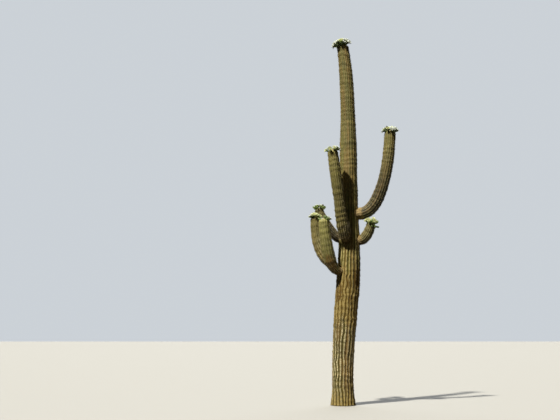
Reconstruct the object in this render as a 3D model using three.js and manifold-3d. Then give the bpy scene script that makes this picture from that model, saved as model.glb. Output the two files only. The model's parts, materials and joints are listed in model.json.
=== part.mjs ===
// A saguaro cactus in flower: one ribbed main stem with six arms that leave it, bend and
// grow upright, and an uneven crown of buds and blossoms on each of the seven tips.
// Sizes are millimetres, +Z is up, and the origin is the middle of the flat cut at ground level.
// The front of the plant faces -Y and its longest arm reaches out to +X.

import * as THREE from 'three';
import * as BufferGeometryUtils from 'three/addons/utils/BufferGeometryUtils.js';
import Module from 'manifold-3d';

const wasm = await Module();
wasm.setup();

// Sizes shared by all limbs
const SEAT_GAP = 0.3;
const CUT_GROWTH = 0.5;
const CROWN_CUT_GROWTH = 1.2;
const ARM_RIBS = 16;
const ARM_RIB_DEPTH = 14;
const DRIFT_CURVE = 1.5;
const NOD_CURVE = 3;

// How finely the faceted solids are cut
const ELBOW_RINGS = 7;
const UPRIGHT_RINGS = 4;
const DOME_RINGS = 2;
const CROWN_SIDES = 12;
const CROWN_RINGS = 5;
const LINE_STEPS = 800;

const QUARTER_TURN = Math.PI / 2;
const UP = new THREE.Vector3(0, 0, 1);

// The main stem: heights run up from the ground, radii are taken over the rib crests.
// Its middle swings to the right of the foot between two heights, and the top nods back.
const STEM = {
  height: 8120,
  ribs: 20,
  ribDepth: 26,
  rings: 24,
  dome: 90,
  swing: 176,
  swingFrom: 500,
  swingTo: 3600,
  nod: 105,
  nodFrom: 6000,
  // The root flare, the waist above it, the belly, the shoulder, the neck among the arms, then
  // the two slimmer stretches of the top
  girth: [
    { height: 0, radius: 280 },
    { height: 230, radius: 243 },
    { height: 900, radius: 235 },
    { height: 2250, radius: 263 },
    { height: 3300, radius: 243 },
    { height: 4350, radius: 205 },
    { height: 5750, radius: 189 },
    { height: 6500, radius: 158 },
    { height: 7200, radius: 157 },
    { height: 7750, radius: 140 },
    { height: 8120, radius: 134 },
  ],
};

// The arms. leaves is the height at which the middle line of an arm leaves its parent, and
// heading the way it goes in plan, in degrees anticlockwise from +X. The line is a quarter of
// a superellipse: it starts root from the parent's middle, goes out by reach and up by rise,
// and roundOut and roundUp say how square its bend is. drift moves the tip to the left of
// the heading, slowly at first. neck, full and tip are radii over the crests, swell is the
// share of its length at which it is full, and bend the share at which it is split.
const ARMS = {
  front_arm: {
    parent: 'main_stem', leaves: 3632, heading: -115.5,
    root: 220, reach: 446, rise: 1888, roundOut: 2.05, roundUp: 1, drift: -121,
    neck: 104, full: 127, tip: 116, swell: 0.21, bend: 0.35, dome: 85,
  },
  long_right_arm: {
    parent: 'main_stem', leaves: 4168, heading: -12,
    root: 165, reach: 786, rise: 1865, roundOut: 2.67, roundUp: 1.52, drift: 0,
    neck: 117, full: 137, tip: 126, swell: 0.16, bend: 0.38, dome: 90,
  },
  short_right_arm: {
    parent: 'main_stem', leaves: 3566, heading: -20,
    root: 191, reach: 330, rise: 395, roundOut: 2.44, roundUp: 1.05, drift: 0,
    neck: 76, full: 114, tip: 100, swell: 0.5, bend: 0.56, dome: 75,
  },
  left_inner_arm: {
    parent: 'main_stem', leaves: 2884, heading: -147,
    root: 186, reach: 484, rise: 1130, roundOut: 2.89, roundUp: 1.52, drift: 0,
    neck: 79, full: 137, tip: 120, swell: 0.5, bend: 0.42, dome: 85,
  },
  left_outer_arm: {
    parent: 'left_inner_arm', leaves: 2965, heading: 154,
    root: 0, reach: 430, rise: 1150, roundOut: 1, roundUp: 2.85, drift: 0,
    neck: 80, full: 128, tip: 108, swell: 0.25, bend: 0.4, dome: 80,
  },
  back_left_arm: {
    parent: 'main_stem', leaves: 3626, heading: 165,
    root: 205, reach: 497, rise: 705, roundOut: 1.39, roundUp: 1.23, drift: 0,
    neck: 88, full: 117, tip: 98, swell: 0.55, bend: 0.5, dome: 75,
  },
};

// The crowns of buds and blossoms: skirt is how far one hangs below its tip, top how far it
// stands above it, and overhang how far it goes out past the crests of its limb
const CROWNS = {
  main_stem: { skirt: 60, top: 165, overhang: 70 },
  front_arm: { skirt: 55, top: 110, overhang: 40 },
  long_right_arm: { skirt: 70, top: 95, overhang: 56 },
  short_right_arm: { skirt: 115, top: 85, overhang: 50 },
  left_inner_arm: { skirt: 70, top: 85, overhang: 36 },
  left_outer_arm: { skirt: 65, top: 75, overhang: 34 },
  back_left_arm: { skirt: 60, top: 90, overhang: 40 },
};
const CROWN_LUMP = 0.08;
const CROWN_SQUARENESS = 0.6;

// Materials
const stemSkin = new THREE.MeshStandardMaterial({ color: 0x7d7546, roughness: 0.72, metalness: 0 });
const armSkin = new THREE.MeshStandardMaterial({ color: 0x7a7744, roughness: 0.7, metalness: 0 });
const blossom = new THREE.MeshStandardMaterial({ color: 0xb9bf8a, roughness: 0.85, metalness: 0 });

function smooth(value, from, to) {
  const share = THREE.MathUtils.clamp((value - from) / (to - from), 0, 1);
  return share * share * (3 - 2 * share);
}

// The middle line of the main stem, whose share runs with the height
class StemLine extends THREE.Curve {
  getPoint(share, target = new THREE.Vector3()) {
    const height = share * STEM.height;
    const swing = STEM.swing * smooth(height, STEM.swingFrom, STEM.swingTo);
    const nodded = Math.max(0, height - STEM.nodFrom) / (STEM.height - STEM.nodFrom);
    return target.set(swing - STEM.nod * nodded ** NOD_CURVE, 0, height);
  }
}

// The middle line of an arm: straight out of its parent, then a quarter superellipse
class ArmLine extends THREE.Curve {
  constructor(arm, foot) {
    super();
    this.arm = arm;
    this.foot = foot;
    this.heel = arm.root / (arm.root + arm.reach + arm.rise);
  }

  getPoint(share, target = new THREE.Vector3()) {
    const { arm, foot, heel } = this;
    const angle = QUARTER_TURN * Math.max(0, (share - heel) / (1 - heel));
    const straight = share < heel ? arm.root * share / heel : arm.root;
    const out = straight + arm.reach * Math.sin(angle) ** (2 / arm.roundOut);
    const climbed = 1 - Math.max(0, Math.cos(angle)) ** (2 / arm.roundUp);
    const aside = arm.drift * climbed ** DRIFT_CURVE;
    const heading = THREE.MathUtils.degToRad(arm.heading);
    const x = foot.x + out * Math.cos(heading) - aside * Math.sin(heading);
    const y = foot.y + out * Math.sin(heading) + aside * Math.cos(heading);
    return target.set(x, y, arm.leaves + arm.rise * climbed);
  }
}

// The point where a middle line first comes up to a height
function pointAtHeight(line, height) {
  return line.getPoints(LINE_STEPS).find((point) => point.z >= height);
}

// The girths of the main stem as a smooth profile, radius along X and height along Z
const girthProfile = new THREE.CatmullRomCurve3(
  STEM.girth.map(({ height, radius }) => new THREE.Vector3(radius, 0, height)),
  false,
  'centripetal',
);

function stemRadius(share) {
  const height = share * STEM.height;
  return (pointAtHeight(girthProfile, height) ?? girthProfile.getPoint(1)).x;
}

// Radius of an arm over its crests: it swells from the neck and narrows again to the tip
function armRadius(arm, share) {
  const swollen = THREE.MathUtils.lerp(arm.neck, arm.full, smooth(share, 0, arm.swell));
  return swollen - (arm.full - arm.tip) * smooth(share, arm.swell, 1);
}

// A closed skin over rings of points, with a fan to a middle point at either end
function skinOver(rings, foot, head) {
  const sides = rings[0].length;
  const points = [...rings.flat(), foot, head];
  const faces = [];
  for (let ring = 1; ring < rings.length; ring += 1) {
    for (let index = 0; index < sides; index += 1) {
      const next = (index + 1) % sides;
      const high = ring * sides;
      const low = high - sides;
      faces.push(low + index, low + next, high + next);
      faces.push(low + index, high + next, high + index);
    }
  }
  const top = (rings.length - 1) * sides;
  for (let index = 0; index < sides; index += 1) {
    const next = (index + 1) % sides;
    faces.push(points.length - 2, next, index);
    faces.push(points.length - 1, top + index, top + next);
  }
  const geometry = new THREE.BufferGeometry();
  geometry.setFromPoints(points);
  geometry.setIndex(faces);
  return geometry;
}

// A limb: a middle line with a ribbed section, closed by a dome at its tip. side is the
// direction that the first crest faces, and level rings lie flat instead of across the line.
class Limb {
  constructor({ line, radiusAt, ribs, ribDepth, dome, side, level }) {
    Object.assign(this, { line, radiusAt, ribs, ribDepth, dome, side, level });
    line.arcLengthDivisions = LINE_STEPS;
    this.length = line.getLength();
  }

  // Middle point and directions of the section at a share of the length
  frameAt(share) {
    const along = this.level ? UP.clone() : this.line.getTangentAt(share);
    const side = this.side.clone().addScaledVector(along, -this.side.dot(along)).normalize();
    const front = new THREE.Vector3().crossVectors(along, side);
    return { centre: this.line.getPointAt(share), along, side, front };
  }

  // Points round the section, crest and groove by turns, or the crests alone
  ringAt(share, grow, crestsOnly) {
    const { centre, side, front } = this.frameAt(share);
    const left = (1 - share) * this.length;
    const domed = left < this.dome ? Math.sqrt(1 - (1 - left / this.dome) ** 2) : 1;
    const crest = this.radiusAt(share);
    const radii = [crest, crest - this.ribDepth];
    const step = crestsOnly ? 2 : 1;
    const points = [];
    for (let index = 0; index < 2 * this.ribs; index += step) {
      const angle = Math.PI * index / this.ribs;
      const radius = radii[index % 2] * domed + grow;
      const point = centre.clone().addScaledVector(side, radius * Math.cos(angle));
      points.push(point.addScaledVector(front, radius * Math.sin(angle)));
    }
    return points;
  }

  // The closed stretch between two shares of the length; one that ends at 1 ends in the dome
  stretch(from, to, count, grow = 0, crestsOnly = false) {
    const domeShare = this.dome / this.length;
    const last = to === 1 ? 1 - domeShare : to;
    const shares = [];
    for (let index = 0; index < count; index += 1) {
      shares.push(THREE.MathUtils.lerp(from, last, index / (count - 1)));
    }
    for (let index = 1; to === 1 && index <= DOME_RINGS; index += 1) {
      shares.push(last + domeShare * Math.sin(QUARTER_TURN * index / (DOME_RINGS + 1)));
    }
    const rings = shares.map((share) => this.ringAt(share, grow, crestsOnly));
    const foot = this.line.getPointAt(from);
    const head = this.line.getPointAt(to);
    if (to === 1) {
      head.addScaledVector(this.frameAt(1).along, grow);
    }
    return skinOver(rings, foot, head);
  }
}

// A lumpy ellipsoid round the tip of a limb, wider and higher here and there
function crownOver(shape, crown, turn) {
  const { centre, along, side, front } = shape.frameAt(1);
  const width = shape.radiusAt(1) + crown.overhang;
  const halfHeight = (crown.top + crown.skirt) / 2;
  const middle = centre.clone().addScaledVector(along, crown.top - halfHeight);
  const rings = [];
  for (let ring = 1; ring <= CROWN_RINGS; ring += 1) {
    const tilt = Math.PI * ring / (CROWN_RINGS + 1);
    const points = [];
    for (let index = 0; index < CROWN_SIDES; index += 1) {
      const angle = 2 * Math.PI * index / CROWN_SIDES;
      const wave = Math.sin(3 * angle + turn) + Math.sin(5 * angle + 2 * turn + ring);
      const lump = 1 + CROWN_LUMP * wave / 2;
      const spread = width * lump * Math.sin(tilt) ** CROWN_SQUARENESS;
      const point = middle.clone().addScaledVector(along, -halfHeight * lump * Math.cos(tilt));
      point.addScaledVector(side, spread * Math.cos(angle));
      points.push(point.addScaledVector(front, spread * Math.sin(angle)));
    }
    rings.push(points);
  }
  const foot = middle.clone().addScaledVector(along, -halfHeight);
  const head = middle.clone().addScaledVector(along, halfHeight);
  return skinOver(rings, foot, head);
}

function toSolid(geometry) {
  const merged = BufferGeometryUtils.mergeVertices(geometry);
  return new wasm.Manifold(new wasm.Mesh({
    numProp: 3,
    vertProperties: new Float32Array(merged.attributes.position.array),
    triVerts: new Uint32Array(merged.index.array),
  }));
}

// What is left of a shape after the cutters are taken away
function cut(geometry, cutters) {
  const solid = cutters.reduce((rest, cutter) => rest.subtract(cutter), toSolid(geometry));
  const mesh = solid.getMesh();
  const left = new THREE.BufferGeometry();
  left.setAttribute('position', new THREE.BufferAttribute(mesh.vertProperties, 3));
  left.setIndex(new THREE.BufferAttribute(mesh.triVerts, 1));
  return left;
}

const saguaro = new THREE.Group();

function add(name, geometry, material) {
  geometry.computeVertexNormals();
  const mesh = new THREE.Mesh(geometry, material);
  mesh.name = name;
  saguaro.add(mesh);
}

// The limbs, and for each the slightly larger solids that its neighbours are cut back by
const limbs = {};
const cutters = {};
const sheaths = {};

// The main stem
limbs.main_stem = new Limb({
  line: new StemLine(),
  radiusAt: stemRadius,
  ribs: STEM.ribs,
  ribDepth: STEM.ribDepth,
  dome: STEM.dome,
  side: new THREE.Vector3(1, 0, 0),
  level: true,
});
cutters.main_stem = toSolid(limbs.main_stem.stretch(0, 1, STEM.rings, CUT_GROWTH));
sheaths.main_stem = toSolid(limbs.main_stem.stretch(0, 1, STEM.rings, CROWN_CUT_GROWTH, true));
add('main_stem', limbs.main_stem.stretch(0, 1, STEM.rings), stemSkin);

// The arms, each an elbow and an upright that meet at the bend
for (const [name, arm] of Object.entries(ARMS)) {
  const heading = THREE.MathUtils.degToRad(arm.heading);
  const shape = new Limb({
    line: new ArmLine(arm, pointAtHeight(limbs[arm.parent].line, arm.leaves)),
    radiusAt: (share) => armRadius(arm, share),
    ribs: ARM_RIBS,
    ribDepth: ARM_RIB_DEPTH,
    dome: arm.dome,
    side: new THREE.Vector3(-Math.sin(heading), Math.cos(heading), 0),
    level: false,
  });
  const halfGap = SEAT_GAP / 2 / shape.length;
  const parents = [...new Set(['main_stem', arm.parent])].map((parent) => cutters[parent]);
  const elbow = shape.stretch(0, arm.bend - halfGap, ELBOW_RINGS);
  const upright = shape.stretch(arm.bend + halfGap, 1, UPRIGHT_RINGS);
  add(`${name}_elbow`, cut(elbow, parents), armSkin);
  add(`${name}_upright`, cut(upright, parents), armSkin);
  const grownElbow = toSolid(shape.stretch(0, arm.bend, ELBOW_RINGS, CUT_GROWTH));
  const grownUpright = toSolid(shape.stretch(arm.bend, 1, UPRIGHT_RINGS, CUT_GROWTH));
  limbs[name] = shape;
  cutters[name] = grownElbow.add(grownUpright);
  sheaths[name] = toSolid(shape.stretch(arm.bend, 1, UPRIGHT_RINGS, CROWN_CUT_GROWTH, true));
}

// The crowns sit over the tips like lumpy caps
Object.entries(CROWNS).forEach(([name, crown], index) => {
  const lumpy = crownOver(limbs[name], crown, index);
  add(`${name}_blossom_crown`, cut(lumpy, [sheaths[name]]), blossom);
});

export default saguaro;
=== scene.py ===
"""A saguaro cactus in flower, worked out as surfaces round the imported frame.

Seven ribbed limbs carry wool pads and spines along their rib crests, and a crown of buds and
blossoms on each tip. Lengths are metres in the part's own frame: +Z up, with the ground at 0.
"""

import json
import logging
import math
from dataclasses import dataclass, field
from enum import Enum
from typing import Any

import bpy
import numpy as np
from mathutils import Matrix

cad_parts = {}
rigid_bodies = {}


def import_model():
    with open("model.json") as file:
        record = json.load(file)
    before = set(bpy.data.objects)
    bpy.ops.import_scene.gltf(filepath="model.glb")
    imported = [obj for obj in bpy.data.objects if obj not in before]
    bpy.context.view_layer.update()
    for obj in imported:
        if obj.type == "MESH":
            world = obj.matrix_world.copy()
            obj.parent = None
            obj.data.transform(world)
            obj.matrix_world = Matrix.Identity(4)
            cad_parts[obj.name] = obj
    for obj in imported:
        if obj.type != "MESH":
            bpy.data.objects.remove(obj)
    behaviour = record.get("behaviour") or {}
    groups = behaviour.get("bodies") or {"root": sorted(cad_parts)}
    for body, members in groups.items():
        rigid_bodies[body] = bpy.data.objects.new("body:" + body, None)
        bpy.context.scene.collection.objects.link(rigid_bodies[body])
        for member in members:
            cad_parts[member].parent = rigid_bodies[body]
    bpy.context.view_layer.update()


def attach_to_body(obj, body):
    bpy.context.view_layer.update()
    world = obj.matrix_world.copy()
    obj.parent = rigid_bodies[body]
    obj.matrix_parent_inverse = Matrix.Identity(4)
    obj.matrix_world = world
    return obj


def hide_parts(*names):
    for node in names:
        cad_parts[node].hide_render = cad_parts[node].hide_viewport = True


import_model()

BODY = "root"
LINE_STEPS = 800
TURN = 2.0 * math.pi
GOLDEN_TURN = math.pi * (3.0 - math.sqrt(5.0))
UP = np.array([0.0, 0.0, 1.0])
SIDEWAYS = np.array([1.0, 0.0, 0.0])
# A direction that rises more than this is steep.
STEEP = 0.9

Array = np.ndarray
Colour = tuple[float, float, float]
Triple = tuple[float, float, float]
Sizes = tuple[float, ...]
Span = tuple[float, float]
Pattern = tuple[float, float]
Outline = tuple[Span, ...]
Settings = dict[str, Any]
Inputs = dict[Any, Any]

log = logging.getLogger("saguaro")


def smooth(value: Array, start: float, end: float) -> Array:
    """The smooth step 3t² − 2t³, where t runs from 0 at start to 1 at end."""
    share = np.clip((value - start) / (end - start), 0.0, 1.0)
    return share * share * (3.0 - 2.0 * share)


def lerp(start: Any, end: Any, share: Any) -> Any:
    """The value a share of the way from start to end."""
    return start + (end - start) * share


def unit(vectors: Array) -> Array:
    """The vectors at length 1."""
    return vectors / np.linalg.norm(vectors, axis=-1, keepdims=True)


def level_way(angle: Any) -> Array:
    """The level unit vector at each angle from +X: cos(angle), sin(angle), 0."""
    return np.stack([np.cos(angle), np.sin(angle), np.zeros_like(angle)], axis=-1)


def round_angles(count: int) -> Array:
    """The angles of a count of points spread evenly round a circle."""
    return np.arange(count) * (TURN / count)


def repeated(faces: Array, count: int, step: int) -> Array:
    """The faces of a count of copies of a form, each copy's points a step on from the last's."""
    shift = np.arange(count) * step
    return (faces[None, :, :] + shift[:, None, None]).reshape(-1, 3)


def flowing(places: Array, stations: Sizes, sizes: Sizes) -> Array:
    """A smooth curve through a size at each station.

    Each stretch is the cubic that meets both sizes with the slopes that the neighbours give.

    Args:
        places: where the curve is wanted.
        stations: places at which the size is known, rising.
        sizes: the size at each station.

    Returns:
        The size at each place.
    """
    known = np.asarray(stations, float)
    height = np.asarray(sizes, float)
    slope = np.gradient(height, known)
    index = np.clip(np.searchsorted(known, places, side="right") - 1, 0, len(known) - 2)
    gap = known[index + 1] - known[index]
    share = np.clip((places - known[index]) / gap, 0.0, 1.0)
    rise = share * share * (3.0 - 2.0 * share)
    leave = share * (1.0 - share) ** 2
    arrive = share * share * (share - 1.0)
    level = lerp(height[index], height[index + 1], rise)
    return level + gap * (leave * slope[index] + arrive * slope[index + 1])


class Unevenness:
    """Smooth seeded noise between −1 and 1 on a lattice that closes round a limb.

    Random heights sit on the lattice's corners, and the smooth step blends them both ways.
    The lattice repeats after its last column and its last row.
    """

    def __init__(self, seed: int, columns: int, rows: int = 512) -> None:
        """Draw the heights at the corners.

        Args:
            seed: the noise's source of chance.
            columns: how many columns close round the limb.
            rows: how many rows there are before the noise repeats.
        """
        self.columns = columns
        self.rows = rows
        self.heights = np.random.default_rng(seed).uniform(-1.0, 1.0, (columns, rows))

    def at(self, share: Array, row: Array) -> Array:
        """The noise between four corners.

        Args:
            share: the share of the way round, of which whole numbers are the same place.
            row: the row, which needn't be whole.

        Returns:
            The noise at each pair.
        """
        across = share * self.columns
        column = np.floor(across).astype(int)
        below = np.floor(row).astype(int)
        side = smooth(across - column, 0.0, 1.0)
        up = smooth(row - below, 0.0, 1.0)
        left, right = column % self.columns, (column + 1) % self.columns
        low, high = below % self.rows, (below + 1) % self.rows
        lower = lerp(self.heights[left, low], self.heights[right, low], side)
        upper = lerp(self.heights[left, high], self.heights[right, high], side)
        return lerp(lower, upper, up)


@dataclass
class Shape:
    """Closed forms of triangles, joined: their points and the three corners of each face."""

    points: Array
    faces: Array

    def placed(self, axes: Array, centres: Array) -> "Shape":
        """A copy for each centre: the points times its 3 × 3 axis rows, plus the centre."""
        points = np.einsum("pi,kij->kpj", self.points, axes) + centres[:, None, :]
        return Shape(points.reshape(-1, 3), repeated(self.faces, len(centres), len(self.points)))

    def raised(self, height: float) -> "Shape":
        """The shape moved up."""
        return Shape(self.points + UP * height, self.faces)

    @staticmethod
    def joined(shapes: list["Shape"]) -> "Shape":
        """All the shapes as one.

        Args:
            shapes: the shapes, at least one.

        Returns:
            One shape that holds their points and faces in order.
        """
        starts = np.cumsum([0] + [len(shape.points) for shape in shapes[:-1]])
        faces = [shape.faces + start for shape, start in zip(shapes, starts)]
        return Shape(np.concatenate([shape.points for shape in shapes]), np.concatenate(faces))


def lofts(rings: Array, starts: Array, ends: Array) -> Shape:
    """Closed forms, each a stack of rings that narrows to a point at both ends.

    Args:
        rings: forms × rings × points × 3, counter-clockwise seen from the end.
        starts: the point below each form's first ring.
        ends: the point above each form's last ring.

    Returns:
        The forms, joined, with their faces pointing outwards.
    """
    forms, stack, round_count, _ = rings.shape
    start, end = stack * round_count, stack * round_count + 1
    here = np.arange(round_count)
    after = (here + 1) % round_count
    faces = [np.stack([np.full(round_count, start), after, here], axis=1)]
    for ring in range(stack - 1):
        low, high = ring * round_count, (ring + 1) * round_count
        faces.append(np.stack([low + here, low + after, high + after], axis=1))
        faces.append(np.stack([low + here, high + after, high + here], axis=1))
    last = (stack - 1) * round_count
    faces.append(np.stack([last + here, last + after, np.full(round_count, end)], axis=1))
    flat = rings.reshape(forms, stack * round_count, 3)
    points = np.concatenate([flat, starts[:, None, :], ends[:, None, :]], axis=1)
    return Shape(points.reshape(-1, 3), repeated(np.concatenate(faces), forms, points.shape[1]))


def across(directions: Array) -> tuple[Array, Array]:
    """Two unit vectors square to each direction and to each other.

    The first is helper × direction, where the helper is +Z, or +X for a steep direction, and the
    second is direction × first, so first × second is the direction again.

    Args:
        directions: unit vectors.

    Returns:
        The first and the second vectors.
    """
    gentle = np.abs(directions[..., 2:3]) < STEEP
    first = unit(np.cross(np.where(gentle, UP, SIDEWAYS), directions))
    return first, np.cross(directions, first)


def rims(directions: Array, count: int) -> Array:
    """A ring of unit vectors round each direction, counter-clockwise seen from its end.

    Args:
        directions: unit vectors.
        count: how many vectors a ring has.

    Returns:
        Directions × count × 3: first × cos(angle) + second × sin(angle) of the vectors across.
    """
    first, second = across(directions)
    angle = round_angles(count)[None, :, None]
    return first[:, None, :] * np.cos(angle) + second[:, None, :] * np.sin(angle)


def put_in_scene(name: str, data: bpy.types.ID) -> bpy.types.Object:
    """An object of a mesh, lamp or camera, linked to the scene."""
    made = bpy.data.objects.new(name, data)
    bpy.context.scene.collection.objects.link(made)
    return made


def smooth_mesh(name: str, points: Array, corners: Array, starts: Array) -> bpy.types.Mesh:
    """A smooth shaded mesh from whole arrays.

    Args:
        name: the mesh's name.
        points: its points.
        corners: the point at each corner of a face, face by face.
        starts: the first corner of each face.

    Returns:
        The mesh.
    """
    mesh = bpy.data.meshes.new(name)
    mesh.vertices.add(len(points))
    mesh.vertices.foreach_set("co", points.astype(np.float32).ravel())
    mesh.loops.add(len(corners))
    mesh.loops.foreach_set("vertex_index", corners.astype(np.int32))
    mesh.polygons.add(len(starts))
    mesh.polygons.foreach_set("loop_start", starts.astype(np.int32))
    mesh.polygons.foreach_set("use_smooth", np.ones(len(starts), dtype=bool))
    mesh.update(calc_edges=True)
    return mesh


def make_piece(name: str, shape: Shape, material: bpy.types.Material) -> bpy.types.Object:
    """An object from a shape of triangles.

    Args:
        name: the piece's name.
        shape: its points and faces.
        material: its finish.

    Returns:
        The object, linked to the scene.
    """
    mesh = smooth_mesh(name, shape.points, shape.faces.ravel(), np.arange(0, shape.faces.size, 3))
    mesh.materials.append(material)
    return put_in_scene(name, mesh)


def attach(piece: bpy.types.Object, nodes: tuple[str, ...] = ()) -> None:
    """Ride a piece on the plant's body, and report it.

    Args:
        piece: the piece.
        nodes: the nodes of the part that it stands for.
    """
    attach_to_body(piece, BODY)
    if nodes:
        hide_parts(*nodes)
    log.info("%s: %d faces, for %s", piece.name, len(piece.data.polygons), nodes or "no node")


class Value:
    """A number that varies over a surface: one socket with Python's arithmetic."""

    def __init__(self, graph: "Graph", socket: bpy.types.NodeSocket) -> None:
        """Wrap a socket of a graph."""
        self.graph = graph
        self.socket = socket

    def math(self, operation: str, *numbers: Any) -> "Value":
        """A Math node of this value and the numbers, in that order."""
        inputs = dict(enumerate((self, *numbers)))
        return self.graph.value("ShaderNodeMath", {"operation": operation}, inputs)

    def __add__(self, other: Any) -> "Value":
        """Sum."""
        return self.math("ADD", other)

    def __sub__(self, other: Any) -> "Value":
        """Difference."""
        return self.math("SUBTRACT", other)

    def __rsub__(self, other: Any) -> "Value":
        """Difference from a number."""
        return self.graph.value("ShaderNodeMath", {"operation": "SUBTRACT"}, {0: other, 1: self})

    def __mul__(self, other: Any) -> "Value":
        """Product."""
        return self.math("MULTIPLY", other)

    __radd__ = __add__
    __rmul__ = __mul__

    def cosine(self) -> "Value":
        """Cosine of an angle in radians."""
        return self.math("COSINE")

    def sine(self) -> "Value":
        """Sine of an angle in radians."""
        return self.math("SINE")

    def absolute(self) -> "Value":
        """Size without its sign."""
        return self.math("ABSOLUTE")

    def ramp(self, start: float, end: float) -> "Value":
        """The smooth step from 0 to 1.

        Args:
            start: the number up to which it is 0.
            end: the number from which it is 1.

        Returns:
            The step of this value.
        """
        settings = {"interpolation_type": "SMOOTHSTEP"}
        ends = {"Value": self, "From Min": start, "From Max": end}
        return self.graph.value("ShaderNodeMapRange", settings, ends)


def weighed(weights: Sizes, *values: Value) -> Value:
    """The sum of each value times its weight, plus the last weight by itself.

    Args:
        weights: a weight for each value, and one more.
        values: the values, at least one.

    Returns:
        The sum.
    """
    total = values[0] * weights[0]
    for value, weight in zip(values[1:], weights[1:]):
        total = total + value * weight
    return total + weights[-1]


class Graph:
    """The nodes of one finish, or of the studio's air."""

    def __init__(self, owner: bpy.types.Material | bpy.types.World) -> None:
        """Start with no nodes.

        Args:
            owner: the material or the world that the nodes belong to.
        """
        self.owner = owner
        self.owner.use_nodes = True
        self.tree = self.owner.node_tree
        self.tree.nodes.clear()

    def node(self, kind: str, settings: Settings, inputs: Inputs) -> bpy.types.Node:
        """Add a node.

        Args:
            kind: the node's type.
            settings: its own properties, set before its sockets.
            inputs: a number, a colour, a Value or a socket for each input, by name or place.

        Returns:
            The node.
        """
        node = self.tree.nodes.new(kind)
        for key, setting in settings.items():
            setattr(node, key, setting)
        for key, given in inputs.items():
            socket = node.inputs[key]
            if isinstance(given, Value):
                given = given.socket
            if isinstance(given, bpy.types.NodeSocket):
                self.tree.links.new(given, socket)
            elif isinstance(given, tuple) and socket.type == "RGBA":
                socket.default_value = (*given, 1.0)
            else:
                socket.default_value = given
        return node

    def value(self, kind: str, settings: Settings, inputs: Inputs, output: Any = 0) -> Value:
        """Add a node and take one of its outputs as a number."""
        return Value(self, self.node(kind, settings, inputs).outputs[output])

    def place(self) -> bpy.types.NodeSocket:
        """The point's place on the object."""
        return self.node("ShaderNodeTexCoord", {}, {}).outputs["Object"]

    def stretched(self, vector: Any, share: float) -> bpy.types.NodeSocket:
        """The vector with its z times a share, so that what it feeds is drawn out upwards."""
        inputs = {0: vector, 1: (1.0, 1.0, share)}
        return self.node("ShaderNodeVectorMath", {"operation": "MULTIPLY"}, inputs).outputs[0]

    def attribute(self, name: str) -> Value:
        """A number that the mesh holds at its points."""
        settings = {"attribute_type": "GEOMETRY", "attribute_name": name}
        return self.value("ShaderNodeAttribute", settings, {}, "Fac")

    def noise(self, vector: Any, scale: float, detail: float = 3.0) -> Value:
        """Soft noise from 0 to 1, mostly near 0.5."""
        inputs = {"Vector": vector, "Scale": scale, "Detail": detail}
        return self.value("ShaderNodeTexNoise", {"normalize": True}, inputs, "Fac")

    def vector(self, x: Any, y: Any, z: Any) -> bpy.types.NodeSocket:
        """A vector from three numbers."""
        return self.node("ShaderNodeCombineXYZ", {}, {"X": x, "Y": y, "Z": z}).outputs[0]

    def mix(self, share: Any, start: Any, end: Any, blend: str = "MIX") -> bpy.types.NodeSocket:
        """A colour between two colours, or the second laid on the first by a blend."""
        settings = {"data_type": "RGBA", "blend_type": blend}
        return self.node("ShaderNodeMix", settings, {0: share, 6: start, 7: end}).outputs[2]

    def toned(self, colour: Any, tone: Value) -> bpy.types.NodeSocket:
        """A colour times a number."""
        return self.mix(1.0, colour, self.vector(tone, tone, tone), "MULTIPLY")

    def relief(self, height: Value, strength: float, distance: float) -> bpy.types.NodeSocket:
        """A normal bent by a height."""
        inputs = {"Strength": strength, "Distance": distance, "Height": height}
        return self.node("ShaderNodeBump", {}, inputs).outputs["Normal"]

    def finish(self, **sockets: Any) -> bpy.types.Material:
        """Close the graph with one surface shader.

        Args:
            sockets: the shader's inputs, with a low line for each space in a name.

        Returns:
            The finished material.
        """
        inputs = {key.replace("_", " "): given for key, given in sockets.items()}
        shader = self.node("ShaderNodeBsdfPrincipled", {}, inputs)
        self.node("ShaderNodeOutputMaterial", {}, {"Surface": shader.outputs["BSDF"]})
        return self.owner


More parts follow.
